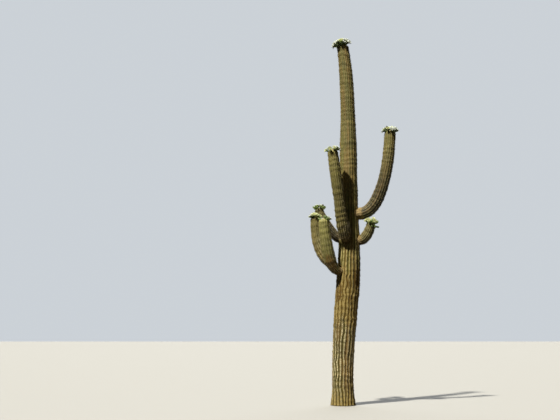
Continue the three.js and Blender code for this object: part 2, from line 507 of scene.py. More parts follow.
@dataclass(frozen=True)
class SkinFinish:
    """Ribbed skin: green grooves, tan crests, pale rings between years, and cork.

    The colour is built up from the groove to the crest along |cos(pi * turn)|, which is 1 on a
    crest and 0 in a groove; the groove colours are darker partly as painted shade deep in the
    grooves. Each of the three colours has a soft and a bold form, and the mesh says how bold the
    ribs are and how worn the crests, and darkens them, or lightens them above 1, by its tone and
    painted shade: partly the skin's own tone, partly painted shade on the feet and undersides of
    limbs. Brown runs along the ribs in long bands, and paler and darker belts go round the limb.
    Cork, stains and callus are laid over where they grow, and the stain colour also lays painted
    shadow where a limb's patches ask for it.

    A pattern is a noise's scale and detail. An edge is where a smooth step starts and ends.
    Weights are what a few values are multiplied by before they are summed, and what is added.
    """

    # Painted shade: the groove colours are the skin's green made darker than the flanks to stand for the
    # shade deep in the grooves, most where the ribs are bold.
    groove_and_shade_soft: Colour = (0.090, 0.088, 0.020)
    flank_soft: Colour = (0.148, 0.131, 0.035)
    crest_soft: Colour = (0.205, 0.178, 0.062)
    groove_and_shade_bold: Colour = (0.058, 0.042, 0.003)
    flank_bold: Colour = (0.116, 0.094, 0.011)
    crest_bold: Colour = (0.420, 0.358, 0.150)
    crest_worn: Colour = (0.640, 0.565, 0.350)
    year_ring: Colour = (0.230, 0.198, 0.080)
    brown: Colour = (0.205, 0.118, 0.036)
    # The stain colour, which on the back left arm is painted shadow.
    stain: Colour = (0.200, 0.108, 0.026)
    cork_dark: Colour = (0.078, 0.045, 0.001)
    cork_pale: Colour = (0.270, 0.205, 0.072)
    callus: Colour = (0.340, 0.245, 0.125)
    brown_share: float = 0.44
    ring_share: float = 0.55
    stain_and_shadow_share: float = 0.9
    relief_strength: float = 0.6
    relief_depth: float = 0.005
    streak_pattern: Pattern = (7.0, 4.0)
    streak_climb: float = 0.30
    band_pattern: Pattern = (2.8, 3.0)
    band_climb: float = 0.28
    belt_pattern: Pattern = (2.4, 4.0)
    belt_climb: float = 3.0
    belt_round: float = 0.3
    mottle_pattern: Pattern = (22.0, 5.0)
    grain_pattern: Pattern = (95.0, 3.0)
    scuff_pattern: Pattern = (34.0, 5.0)
    scuff_stretch: float = 0.42
    flank_edge: Span = (0.05, 0.72)
    crest_edge: Span = (0.58, 0.92)
    streak_edge: Span = (0.30, 0.58)
    speckle_edge: Span = (0.40, 0.54)
    ring_edge: Span = (0.30, 0.60)
    brown_edge: Span = (0.44, 0.60)
    crust_edge: Span = (0.37, 0.60)
    cork_edge: Span = (0.0, 0.35)
    stain_and_shadow_edge: Span = (0.34, 0.50)
    flank_weights: Sizes = (1.0, 0.2, -0.1)
    crest_weights: Sizes = (1.0, -0.12, 0.0)
    broken_weights: Sizes = (0.35, 0.50, 0.15)
    brown_weights: Sizes = (0.8, 0.2, 0.0)
    belt_weights: Sizes = (1.30, 0.35)
    crust_weights: Sizes = (0.4, 0.6, 0.40, -0.26)
    cork_weights: Sizes = (1.5, 0.9, 0.2, -0.95)
    callus_weights: Sizes = (0.35, 0.65)
    tone_weights: Sizes = (0.32, 0.24, 0.72)
    relief_weights: Sizes = (0.35, 0.65, 0.6, 0.0)
    rough_weights: Sizes = (0.3, 0.12, 0.58)

    def material(self, name: str, ribs: int) -> bpy.types.Material:
        """The finish for a limb.

        Args:
            name: the material's name.
            ribs: how many ribs go round the limb.

        Returns:
            The material.
        """
        graph = Graph(bpy.data.materials.new(name))
        skin_map = graph.node("ShaderNodeUVMap", {"uv_map": "ribs"}, {}).outputs[0]
        turned = graph.node("ShaderNodeSeparateXYZ", {}, {0: skin_map})
        turn = Value(graph, turned.outputs["X"])
        along = Value(graph, turned.outputs["Y"])
        place = graph.place()
        angle = turn * (TURN / ribs)
        x, y = angle.cosine(), angle.sine()
        streaks = graph.noise(graph.vector(x, y, along * self.streak_climb), *self.streak_pattern)
        bands = graph.noise(graph.vector(x, y, along * self.band_climb), *self.band_pattern)
        near = graph.vector(x * self.belt_round, y * self.belt_round, along * self.belt_climb)
        belts = graph.noise(near, *self.belt_pattern)
        mottle = graph.noise(place, *self.mottle_pattern)
        grain = graph.noise(place, *self.grain_pattern)
        crest = (turn * math.pi).cosine().absolute()
        keys = ("pinch", "cork", "stain", "bold", "worn", "callus", "shade")
        pinch, cork, stain, bold, worn, callus, shade = (graph.attribute(key) for key in keys)
        # Painted shade in the grooves, stronger where the ribs are bold.
        groove = graph.mix(bold, self.groove_and_shade_soft, self.groove_and_shade_bold)
        flank = graph.mix(bold, self.flank_soft, self.flank_bold)
        ridge = graph.mix(bold, self.crest_soft, graph.mix(worn, self.crest_bold, self.crest_worn))
        risen = weighed(self.flank_weights, crest, mottle).ramp(*self.flank_edge)
        # Painted shade: grooves and flanks, and crests where the ribs are soft, take the mesh's tone and
        # painted shade.
        colour = graph.toned(graph.mix(risen, groove, flank), shade)
        ridge = graph.toned(ridge, shade + (1.0 - shade) * bold)
        speckles = mottle.ramp(*self.speckle_edge)
        broken = weighed(self.broken_weights, streaks.ramp(*self.streak_edge), speckles)
        on_crest = weighed(self.crest_weights, crest, bold).ramp(*self.crest_edge)
        colour = graph.mix(on_crest * broken, colour, ridge)
        ringed = pinch * mottle.ramp(*self.ring_edge) * self.ring_share
        colour = graph.mix(ringed, colour, self.year_ring)
        browned = weighed(self.brown_weights, bands, belts).ramp(*self.brown_edge)
        colour = graph.mix(browned * self.brown_share, colour, self.brown)
        colour = graph.toned(colour, weighed(self.belt_weights, belts))
        scuffs = graph.noise(graph.stretched(place, self.scuff_stretch), *self.scuff_pattern)
        crust = weighed(self.crust_weights, grain, scuffs, crest).ramp(*self.crust_edge)
        cork_colour = graph.mix(crust, self.cork_dark, self.cork_pale)
        cork_share = weighed(self.cork_weights, cork, mottle, crest).ramp(*self.cork_edge)
        colour = graph.mix(cork_share, colour, cork_colour)
        # Stains, and on the back left arm a patch of painted shadow, are laid over the skin.
        stained_and_shadowed = stain * mottle.ramp(*self.stain_and_shadow_edge) * self.stain_and_shadow_share
        colour = graph.mix(stained_and_shadowed, colour, self.stain)
        colour = graph.mix(callus * weighed(self.callus_weights, grain), colour, self.callus)
        colour = graph.toned(colour, weighed(self.tone_weights, mottle, grain))
        height = weighed(self.relief_weights, grain, mottle, cork_share * grain)
        return graph.finish(
            Base_Color=colour,
            Roughness=weighed(self.rough_weights, cork_share, grain),
            Specular_IOR_Level=0.30,
            Normal=graph.relief(height, self.relief_strength, self.relief_depth),
        )


GREEN_SKIN = SkinFinish(
    groove_and_shade_soft=(0.112, 0.110, 0.027),
    flank_soft=(0.152, 0.144, 0.042),
    crest_soft=(0.196, 0.182, 0.066),
    brown_share=0.06,
)


@dataclass(frozen=True)
class HornFinish:
    """Dull horn of the spines, a little uneven in colour."""

    pale: Colour
    dark: Colour
    pattern: Pattern = (40.0, 2.0)
    edge: Span = (0.38, 0.62)

    def material(self, name: str) -> bpy.types.Material:
        """The finish for a piece of spines.

        Args:
            name: the material's name.

        Returns:
            The material.
        """
        graph = Graph(bpy.data.materials.new(name))
        patches = graph.noise(graph.place(), *self.pattern).ramp(*self.edge)
        colour = graph.mix(patches, self.dark, self.pale)
        return graph.finish(Base_Color=colour, Roughness=0.6 + patches * 0.15, Specular_IOR_Level=0.3)


@dataclass(frozen=True)
class FeltFinish:
    """Short wool: matt, finely rough, and paler where it stands up."""

    pale: Colour
    dark: Colour
    tuft_pattern: Pattern = (420.0, 2.0)
    patch_pattern: Pattern = (30.0, 3.0)
    edge: Span = (0.3, 0.7)
    weights: Sizes = (1.0, 0.6, -0.3)
    relief_depth: float = 0.002

    def material(self, name: str) -> bpy.types.Material:
        """The finish for a piece of wool.

        Args:
            name: the material's name.

        Returns:
            The material.
        """
        graph = Graph(bpy.data.materials.new(name))
        place = graph.place()
        tufts = graph.noise(place, *self.tuft_pattern)
        patches = graph.noise(place, *self.patch_pattern)
        raised = weighed(self.weights, tufts, patches).ramp(*self.edge)
        colour = graph.mix(raised, self.dark, self.pale)
        return graph.finish(
            Base_Color=colour,
            Roughness=0.85 + tufts * 0.1,
            Specular_IOR_Level=0.2,
            Normal=graph.relief(tufts, 0.6, self.relief_depth),
        )


@dataclass(frozen=True)
class WaxFinish:
    """Waxy flower tissue: two close colours in soft patches, under a faint sheen of wax.

    Thin petals glow where the sun is on their other side.
    """

    pale: Colour
    deep: Colour
    roughness: float = 0.45
    glow: float = 0.0
    glow_reach: Triple = (0.010, 0.010, 0.008)
    patch_pattern: Pattern = (70.0, 3.0)
    patch_edge: Span = (0.36, 0.64)
    vein_pattern: Pattern = (520.0, 2.0)
    vein_depth: float = 0.0012

    def material(self, name: str) -> bpy.types.Material:
        """The finish for a piece of petals, tubes or scales.

        Args:
            name: the material's name.

        Returns:
            The material.
        """
        graph = Graph(bpy.data.materials.new(name))
        place = graph.place()
        patches = graph.noise(place, *self.patch_pattern)
        veins = graph.noise(place, *self.vein_pattern)
        colour = graph.mix(patches.ramp(*self.patch_edge), self.deep, self.pale)
        return graph.finish(
            Base_Color=colour,
            Roughness=self.roughness + veins * 0.15,
            Coat_Weight=0.10,
            Coat_Roughness=0.35,
            Subsurface_Weight=self.glow,
            Subsurface_Radius=self.glow_reach,
            Subsurface_Scale=1.0,
            Normal=graph.relief(veins, 0.4, self.vein_depth),
        )


@dataclass
class Scar:
    """A patch on a limb's skin, as used for cork, stains and painted shadow.

    Its strength falls off smoothly with (distance along / length)² + (distance round / width)².
    """

    along: float
    facing: float
    length: float
    width: float
    strength: float = 1.0


@dataclass(kw_only=True)
class Limb:
    """One ribbed limb: its middle line, its girth, and the skin round it.

    The skin is a function of the turn round the limb, counted in ribs, and the way along it.
    Its radius is girth + year bulge + waist + knobs + crust + lumps − groove, where the groove is
    depth × (1 − |cos(pi × turn)|), so that crests are round and grooves are sharp. What is uneven
    has a size and a pitch, which is how far its noise's rows lie apart along the limb.
    """

    name: str
    nodes: tuple[str, ...]
    slot: str = "arm_skin"
    seed: int = 1
    ribs: int = 16
    rib_depth: float = 0.008
    points_per_rib: int = 10
    ring_gap: float = 0.017
    dome_rings: int = 14
    year_growth: Span = (0.085, 0.15)
    year_bulge: float = 0.0038
    year_hollow: float = 0.6
    year_sway: Span = (0.022, 0.5)
    foot_bulge: float = 0.0
    foot_end: Span = (0.40, 0.72)
    wide_columns: int = 6
    waist_columns: int = 3
    waist: Span = (0.006, 0.42)
    lump: Span = (0.012, 0.8)
    knob: Span = (0.0025, 0.055)
    crust: Span = (0.005, 0.028)
    cork_fill: float = 0.6
    rib_wander: Span = (0.16, 0.33)
    crooked_cork: float = 0.45
    crooked_worn: float = 0.13
    crooked_pitch: float = 0.13
    crooked_apart: float = 0.37
    scar_ragged: Span = (0.45, 0.04)
    scar_edge: Span = (0.35, 1.3)
    held_share: float = 0.94
    # The skin's tone and painted shade at the foot and at the tip, partly its own tone and partly painted
    # shade on the feet and undersides of arms; it changes from a share of the length.
    shade: Span = (1.0, 1.0)
    shade_from: float = 0.2
    dome: float = 0.11
    cork_scars: tuple[Scar, ...] = ()
    # Patches of stain, and on the back left arm of painted shadow.
    stains: tuple[Scar, ...] = ()
    finish: SkinFinish = field(default_factory=SkinFinish)

    def __post_init__(self) -> None:
        """Walk the middle line and draw the limb's own unevenness."""
        share = np.linspace(0.0, 1.0, LINE_STEPS + 1)
        self.line = self.middle(share)
        steps = np.linalg.norm(np.diff(self.line, axis=0), axis=1)
        self.stations = np.concatenate([[0.0], np.cumsum(steps)])
        self.length = float(self.stations[-1])
        self.forward = unit(np.gradient(self.line, self.stations, axis=0))
        self.side, self.front = self.section_axes()
        random = np.random.default_rng(self.seed)
        years = int(self.length / self.year_growth[0]) + 3
        self.year_ends = np.cumsum(random.uniform(*self.year_growth, years)) - self.year_growth[1]
        self.year_strength = random.uniform(0.1, 1.0, years)
        self.wide = Unevenness(self.seed + 1, self.wide_columns)
        self.drift = Unevenness(self.seed + 2, self.ribs // 2)
        self.knobs = Unevenness(self.seed + 3, self.ribs * 2)
        self.rough = Unevenness(self.seed + 4, self.ribs * 3)
        self.waists = Unevenness(self.seed + 5, self.waist_columns)

    def middle(self, share: Array) -> Array:
        """Points of the middle line at shares of its own parameter."""
        raise NotImplementedError

    def section_axes(self) -> tuple[Array, Array]:
        """The two directions that the sections lie in, at each point of the line."""
        raise NotImplementedError

    def girth(self, along: Array) -> Array:
        """The crests' radius, without the dome."""
        raise NotImplementedError

    def girth_at(self, index: int) -> float:
        """The girth at one point of the line."""
        return float(self.girth(self.stations[index : index + 1])[0])

    def depth(self, along: Array) -> Array:
        """How deep the grooves are."""
        return np.full_like(along, self.rib_depth)

    def cork(self, turn: Array, along: Array) -> Array:
        """How much cork covers the skin, from 0 to 1."""
        return self.patches(self.cork_scars, turn, along)

    def boldness(self, along: Array) -> Array:
        """How strongly the crests and grooves differ in colour, from 0 to 1."""
        raise NotImplementedError

    def wear(self, along: Array) -> Array:
        """How grey and worn the crests are, from 0 to 1."""
        return np.zeros_like(along)

    def callus(self, turn: Array, along: Array) -> Array:
        """How much smooth callus covers the skin, from 0 to 1."""
        return np.zeros_like(along)

    def tone_and_painted_shading(self, along: Array) -> Array:
        """The skin's tone and painted shade: one share at the foot, and another at the tip."""
        return lerp(*self.shade, smooth(along / self.length, self.shade_from, 1.0))

    def facing_turn(self, facing: float) -> float:
        """The turn, in ribs, that looks towards a heading in degrees from +X."""
        raise NotImplementedError

    def on_line(self, values: Array, along: Array) -> Array:
        """Vectors known along the line, between its points."""
        return np.stack([np.interp(along, self.stations, values[:, i]) for i in range(3)], axis=-1)

    def rounding(self, along: Array) -> Array:
        """How wide the dome lets the limb be: sqrt(1 − (1 − left / dome)²) below its tip."""
        left = np.clip((self.length - along) / self.dome, 0.0, 1.0)
        return np.sqrt(np.clip(1.0 - (1.0 - left) ** 2, 0.0, 1.0))

    def uneven(self, noise: Unevenness, size: Span, turn: Array, along: Array) -> Array:
        """A noise round the limb: its size times what it is there, with its rows a pitch apart."""
        return size[0] * noise.at(turn / self.ribs, along / size[1])

    def years(self, turn: Array, along: Array) -> Array:
        """Years of growth up to a point: a whole number on each pinch between two years."""
        shifted = along + self.uneven(self.wide, self.year_sway, turn, along)
        return np.interp(shifted, self.year_ends, np.arange(len(self.year_ends)))

    def patches(self, scars: tuple[Scar, ...], turn: Array, along: Array) -> Array:
        """The strongest of the scars at each point, with a ragged edge.

        Args:
            scars: the scars.
            turn: the turn round the limb, in ribs.
            along: the way along the middle line, in metres.

        Returns:
            A strength from 0 to 1 at each point.
        """
        total = np.zeros(np.broadcast(turn, along).shape)
        ragged = 1.0 + self.uneven(self.rough, self.scar_ragged, turn, along)
        for scar in scars:
            apart = turn - self.facing_turn(scar.facing)
            apart = (apart + self.ribs / 2) % self.ribs - self.ribs / 2
            round_gap = apart / self.ribs * TURN * self.girth(along)
            reach = ((along - scar.along) / scar.length) ** 2 + (round_gap / scar.width) ** 2
            total = np.maximum(total, scar.strength * (1.0 - smooth(reach * ragged, *self.scar_edge)))
        return total

    def radius(self, turn: Array, along: Array) -> Array:
        """The skin's distance from the middle line.

        Args:
            turn: the turn round the limb, in ribs.
            along: the way along the middle line, in metres.

        Returns:
            The distance at each point, by the class's formula times the dome's rounding.
        """
        crest = np.abs(np.cos(math.pi * turn))
        year = self.years(turn, along)
        strength = self.year_strength[year.astype(int)]
        swell = 2.0 * strength * np.sin(math.pi * year) ** 2 - self.year_hollow
        cork = self.cork(turn, along)
        groove = self.depth(along) * (1.0 - crest) * (1.0 - self.cork_fill * cork)
        waist = self.uneven(self.waists, self.waist, turn, along)
        knobs = self.uneven(self.knobs, self.knob, turn, along) * (1.0 + cork) * crest * crest
        crust = self.uneven(self.rough, self.crust, turn, along) * cork
        lumps = self.uneven(self.wide, self.lump, turn, along) * self.girth(along)
        near_foot = 1.0 - smooth(along / self.length, *self.foot_end)
        bulge = self.year_bulge + self.foot_bulge * near_foot
        full = self.girth(along) + bulge * swell + waist + knobs + crust + lumps - groove
        return full * self.rounding(along)

    def skin(self, turn: Array, along: Array) -> Array:
        """Points of the skin: the middle line plus the radius towards the turn.

        The crests wander a little sideways with the height, neighbours together, and more
        where they are corky or worn.

        Args:
            turn: the turn round the limb, in ribs.
            along: the way along the middle line, in metres, of the same shape.

        Returns:
            The points, of that shape × 3.
        """
        wander = self.uneven(self.drift, self.rib_wander, turn, along)
        crooked = self.drift.at(turn / self.ribs + self.crooked_apart, along / self.crooked_pitch)
        loose = self.crooked_cork * self.cork(turn, along) + self.crooked_worn * self.wear(along)
        wander = wander + loose * crooked
        angle = TURN * (turn + wander) / self.ribs
        radius = self.radius(turn, along)[..., None]
        side, front = self.on_line(self.side, along), self.on_line(self.front, along)
        out = np.cos(angle)[..., None] * side + np.sin(angle)[..., None] * front
        return self.on_line(self.line, along) + radius * out

    def holds(self, points: Array) -> Array:
        """Whether each point lies inside the limb, by the nearest of its line's points.

        Args:
            points: the points.

        Returns:
            True where the point is nearer the line than the held share of the radius there.
        """
        every, batch = 8, 2000
        line, stations = self.line[::every], self.stations[::every]
        reach = self.girth(stations) * self.rounding(stations) * self.held_share
        inside = np.zeros(len(points), dtype=bool)
        for start in range(0, len(points), batch):
            part = points[start : start + batch]
            gaps = np.linalg.norm(part[:, None, :] - line[None, :, :], axis=2)
            inside[start : start + batch] = gaps.min(axis=1) < reach[gaps.argmin(axis=1)]
        return inside

    def build_skin(self) -> None:
        """The skin as one closed mesh, with its rib map and a number at each point for each field."""
        count = self.ribs * self.points_per_rib
        rings = max(2, int((self.length - self.dome) / self.ring_gap))
        straight = np.linspace(0.0, self.length - self.dome, rings + 1)
        bow = np.sin(np.linspace(0.0, math.pi / 2, self.dome_rings + 1)[1:-1])
        stations = np.concatenate([straight, self.length - self.dome * (1.0 - bow)])
        turn, along = np.meshgrid(np.arange(count) / self.points_per_rib, stations)
        grid = self.skin(turn, along)
        ends = np.stack([self.line[0], self.line[-1]])
        points = np.concatenate([grid.reshape(-1, 3), ends])
        mesh = self.skin_mesh(points, count, stations)
        year = self.years(turn, along)
        strength = self.year_strength[np.rint(year).astype(int)]
        fields = {
            "pinch": (1.0 - np.abs(np.sin(math.pi * year))) ** 2 * strength,
            "cork": self.cork(turn, along),
            "stain": self.patches(self.stains, turn, along),
            "bold": self.boldness(along),
            "worn": self.wear(along),
            "callus": self.callus(turn, along),
            "shade": self.tone_and_painted_shading(along),
        }
        for name, values in fields.items():
            held = np.concatenate([values.ravel(), [values[0].mean(), values[-1].mean()]])
            layer = mesh.attributes.new(name, "FLOAT", "POINT")
            layer.data.foreach_set("value", held.astype(np.float32))
        mesh.materials.append(self.finish.material(f"{self.name}_skin_finish", self.ribs))
        attach(put_in_scene(f"{self.name}_skin", mesh), self.nodes)

    def skin_mesh(self, points: Array, count: int, stations: Array) -> bpy.types.Mesh:
        """The skin's faces: four-sided between rings, three-sided at both ends.

        Args:
            points: the rings' points, ring by ring, then the two end points.
            count: how many points a ring has.
            stations: the way along the limb of each ring.

        Returns:
            The mesh, whose rib map holds the turn in ribs and the metres along the limb.
        """
        rings, column, step = len(stations), np.arange(count), 1.0 / self.points_per_rib
        columns = np.stack([column, column + 1, column + 1, column], axis=1)
        levels = np.arange(rings - 1)[:, None, None] + np.array([0, 0, 1, 1])
        quads = levels * count + columns % count
        foot, tip = np.full(count, rings * count), np.full(count, rings * count + 1)
        after, last = columns[:, 1] % count, (rings - 1) * count
        foot_fan = np.stack([foot, after, column], axis=1)
        tip_fan = np.stack([last + column, last + after, tip], axis=1)
        corners = np.concatenate([quads.ravel(), foot_fan.ravel(), tip_fan.ravel()])
        sizes = np.concatenate([np.full((rings - 1) * count, 4), np.full(2 * count, 3)])
        starts = np.concatenate([[0], np.cumsum(sizes)[:-1]])
        foot_turns = np.stack([column + 0.5, column + 1, column], axis=1)
        tip_turns = np.stack([column, column + 1, column + 0.5], axis=1)
        quad_turns = np.broadcast_to(columns, quads.shape)
        turns = np.concatenate([quad_turns.ravel(), foot_turns.ravel(), tip_turns.ravel()]) * step
        ends = np.repeat(stations[[0, -1]], count * 3)
        alongs = np.concatenate([np.broadcast_to(stations[levels], quads.shape).ravel(), ends])
        mesh = smooth_mesh(f"{self.name}_skin", points, corners, starts)
        rib_map = mesh.uv_layers.new(name="ribs")
        rib_map.data.foreach_set("uv", np.stack([turns, alongs], axis=1).astype(np.float32).ravel())
        return mesh


@dataclass(kw_only=True)
class Stem(Limb):
    """The main stem: it swings to one side, nods back near its tip, and thins above its belly."""

    height: float = 8.120
    swing: float = 0.176
    swing_from: float = 0.5
    swing_to: float = 3.6
    nod: float = 0.105
    nod_from: float = 6.0
    girth_heights: Sizes = (0.0, 0.23, 0.9, 2.25, 3.3, 4.35, 5.75, 6.5, 7.2, 7.75, 8.12)
    girth_sizes: Sizes = (
        0.280, 0.243, 0.235, 0.263, 0.243, 0.205, 0.189, 0.158, 0.157, 0.140, 0.134,
    )
    depth_heights: Sizes = (0.0, 1.0, 2.2, 3.4, 4.6, 6.2, 8.1)
    depth_sizes: Sizes = (0.025, 0.025, 0.018, 0.026, 0.009, 0.006, 0.006)
    cork_heights: Sizes = (0.0, 0.6, 1.6, 2.0, 2.35, 2.7, 2.95, 3.6, 8.1)
    cork_sizes: Sizes = (0.55, 0.28, 0.22, 0.58, 0.84, 0.62, 0.18, 0.05, 0.0)
    cork_ragged: Span = (0.20, 1.1)
    seat_rim: float = 0.07
    softened: float = 0.9
    soft_rise: Span = (3.3, 4.6)
    worn_rise: Span = (1.7, 2.3)
    # The stem's tone and painted shade up its height: partly its own tone, partly painted shade that
    # darkens the grooves and flanks low on the stem.
    shade_heights: Sizes = (0.0, 1.9, 2.4, 3.0, 3.6, 4.6, 6.0, 7.2, 8.1)
    shade_sizes: Sizes = (0.66, 0.70, 0.86, 0.98, 1.04, 0.86, 0.77, 0.77, 0.84)
    seats: list[tuple[Array, float]] = field(default_factory=list)

    def middle(self, share: Array) -> Array:
        """x = swing × smooth step of the height − nod × (share of the nodding stretch)³.

        Args:
            share: shares of the height.

        Returns:
            The points.
        """
        rise = share * self.height
        nodding = np.clip((rise - self.nod_from) / (self.height - self.nod_from), 0.0, None)
        sway = self.swing * smooth(rise, self.swing_from, self.swing_to) - self.nod * nodding**3
        return np.stack([sway, np.zeros_like(rise), rise], axis=1)

    def section_axes(self) -> tuple[Array, Array]:
        """Level sections, so +X and +Y all the way up."""
        ones = np.ones((len(self.line), 1))
        return ones * np.array([1.0, 0.0, 0.0]), ones * np.array([0.0, 1.0, 0.0])

    def girth(self, along: Array) -> Array:
        """The girth drawn through the stem's sizes."""
        return flowing(along, self.girth_heights, self.girth_sizes)

    def depth(self, along: Array) -> Array:
        """Grooves are deep up to where the arms stand, and shallow above."""
        return flowing(along, self.depth_heights, self.depth_sizes)

    def boldness(self, along: Array) -> Array:
        """Bold from the foot to where the arms stand, then soft."""
        return 1.0 - self.softened * smooth(along, *self.soft_rise)

    def wear(self, along: Array) -> Array:
        """Worn grey up to the belly."""
        return 1.0 - smooth(along, *self.worn_rise)

    def tone_and_painted_shading(self, along: Array) -> Array:
        """The tone and painted shade drawn through the stem's own values."""
        return flowing(along, self.shade_heights, self.shade_sizes)

    def facing_turn(self, facing: float) -> float:
        """A level section's turn is its heading."""
        return facing / 360.0 * self.ribs

    def cork(self, turn: Array, along: Array) -> Array:
        """Cork from the foot up to an uneven height, and a ring of it round the seat of each arm.

        Args:
            turn: the turn round the stem, in ribs.
            along: the way up the stem, in metres.

        Returns:
            How much cork there is at each point, from 0 to 1.
        """
        ragged = along + self.uneven(self.wide, self.cork_ragged, turn, along)
        grown = flowing(ragged, self.cork_heights, self.cork_sizes)
        total = np.maximum(super().cork(turn, along), grown)
        out = level_way(TURN * turn / self.ribs)
        here = self.on_line(self.line, along) + self.girth(along)[..., None] * out
        for centre, reach in self.seats:
            gap = np.linalg.norm(here - centre, axis=-1)
            total = np.maximum(total, 1.0 - smooth(gap, reach, reach + self.seat_rim))
        return np.clip(total, 0.0, 1.0)


@dataclass(kw_only=True)
class Arm(Limb):
    """An arm: straight out of its parent's middle, then round a quarter turn and up.

    The quarter turn is a superellipse: out = reach × sin(a)^(2 / round_out) and
    up = rise × (1 − cos(a)^(2 / round_up)), where a runs from 0 to a right angle. It drifts aside
    by drift_aside × (up / rise)^drift_curve.
    """

    parent: Limb
    leaves: float
    heading: float
    root: float
    reach: float
    rise: float
    round_out: float
    round_up: float
    neck: float
    full: float
    tip: float
    swell: float
    drift_aside: float = 0.0
    drift_curve: float = 1.5
    collar: float = 0.10
    callus_share: float = 0.5
    bold: float = 0.9
    bold_least: float = 0.05
    bold_end: Span = (0.35, 0.85)
    neck_depth: float = 0.55
    neck_end: Span = (0.05, 0.3)
    tip_shallow: float = 0.3
    shallow_from: float = 0.5
    rim_ragged: Span = (0.02, 0.1)
    rim_share: float = 0.7
    waist_height: float = 0.0
    waist_depth: float = 0.0
    waist_length: float = 0.22

    def middle(self, share: Array) -> Array:
        """The quarter turn, from the point of the parent's line at the height where the arm leaves.

        Args:
            share: shares of the whole parameter, straight root included.

        Returns:
            The points.
        """
        foot = self.parent.line[self.foot_index()]
        heel = self.root / (self.root + self.reach + self.rise)
        angle = math.pi / 2 * np.clip((share - heel) / (1.0 - heel), 0.0, 1.0)
        straight = np.minimum(share / heel, 1.0) * self.root if heel else 0.0
        out = straight + self.reach * np.sin(angle) ** (2.0 / self.round_out)
        climbed = 1.0 - np.clip(np.cos(angle), 0.0, 1.0) ** (2.0 / self.round_up)
        aside = self.drift_aside * climbed**self.drift_curve
        turned = math.radians(self.heading)
        x = foot[0] + out * math.cos(turned) - aside * math.sin(turned)
        y = foot[1] + out * math.sin(turned) + aside * math.cos(turned)
        return np.stack([x, y, self.leaves + self.rise * climbed], axis=1)

    def section_axes(self) -> tuple[Array, Array]:
        """The level direction square to the heading, and the one square to it and to the line.

        Returns:
            The two directions at each point of the line.
        """
        level = np.cross(UP, level_way(math.radians(self.heading)))
        along_line = (self.forward @ level)[:, None]
        side = unit(level - along_line * self.forward)
        return side, np.cross(self.forward, side)

    def girth(self, along: Array) -> Array:
        """The arm swells from its neck to its full girth, then thins to its tip.

        A waist takes waist_depth × exp(−(height above the waist / waist_length)²) off it.

        Args:
            along: the way along the middle line, in metres.

        Returns:
            The crests' radius there.
        """
        share = along / self.length
        grown = lerp(self.neck, self.full, smooth(share, 0.0, self.swell))
        height = np.interp(along, self.stations, self.line[:, 2])
        waist = self.waist_depth * np.exp(-(((height - self.waist_height) / self.waist_length) ** 2))
        return grown - (self.full - self.tip) * smooth(share, self.swell, 1.0) - waist

    def boldness(self, along: Array) -> Array:
        """Bold round the neck, where the ribs run together, then soft."""
        return self.bold * (1.0 - smooth(along, *self.bold_end)) + self.bold_least

    def facing_turn(self, facing: float) -> float:
        """On the upright, the turn counts from a quarter turn before the heading."""
        return (facing - self.heading - 90.0) / 360.0 * self.ribs

    def depth(self, along: Array) -> Array:
        """Grooves are shallow at the neck and at the tip.

        Args:
            along: the way along the middle line, in metres.

        Returns:
            The grooves' depth there.
        """
        share = along / self.length
        risen = lerp(self.neck_depth, 1.0, smooth(share, *self.neck_end))
        shallow = self.tip_shallow * smooth(share, self.shallow_from, 1.0)
        return self.rib_depth * risen * (1.0 - shallow)

    def band(self, turn: Array, along: Array) -> Array:
        """The collar where the arm leaves its parent: 1 up to its ragged rim, then 0.

        Args:
            turn: the turn round the arm, in ribs.
            along: the way along the middle line, in metres.

        Returns:
            The collar's strength at each point.
        """
        seat = self.stations[self.seat_index()]
        ragged = along + self.uneven(self.drift, self.rim_ragged, turn, along)
        return 1.0 - smooth(ragged, seat + self.collar * self.rim_share, seat + self.collar)

    def cork(self, turn: Array, along: Array) -> Array:
        """A collar of cork where the arm leaves its parent, and the arm's scars."""
        return np.clip(np.maximum(super().cork(turn, along), self.band(turn, along)), 0.0, 1.0)

    def callus(self, turn: Array, along: Array) -> Array:
        """Callus smooths part of the collar's cork."""
        return self.callus_share * self.band(turn, along)

    def foot_index(self) -> int:
        """Which point of the parent's line the arm leaves from."""
        return int(np.argmax(self.parent.line[:, 2] >= self.leaves))

    def seat_index(self) -> int:
        """Which point of the arm's line is the first outside its parent."""
        gaps = np.linalg.norm(self.line - self.line[0], axis=1)
        return int(np.argmax(gaps > self.parent.girth_at(self.foot_index())))

    def seat(self) -> tuple[Array, float]:
        """The point where the arm's line comes out of its parent, and the arm's radius there."""
        index = self.seat_index()
        return self.line[index], self.girth_at(index)


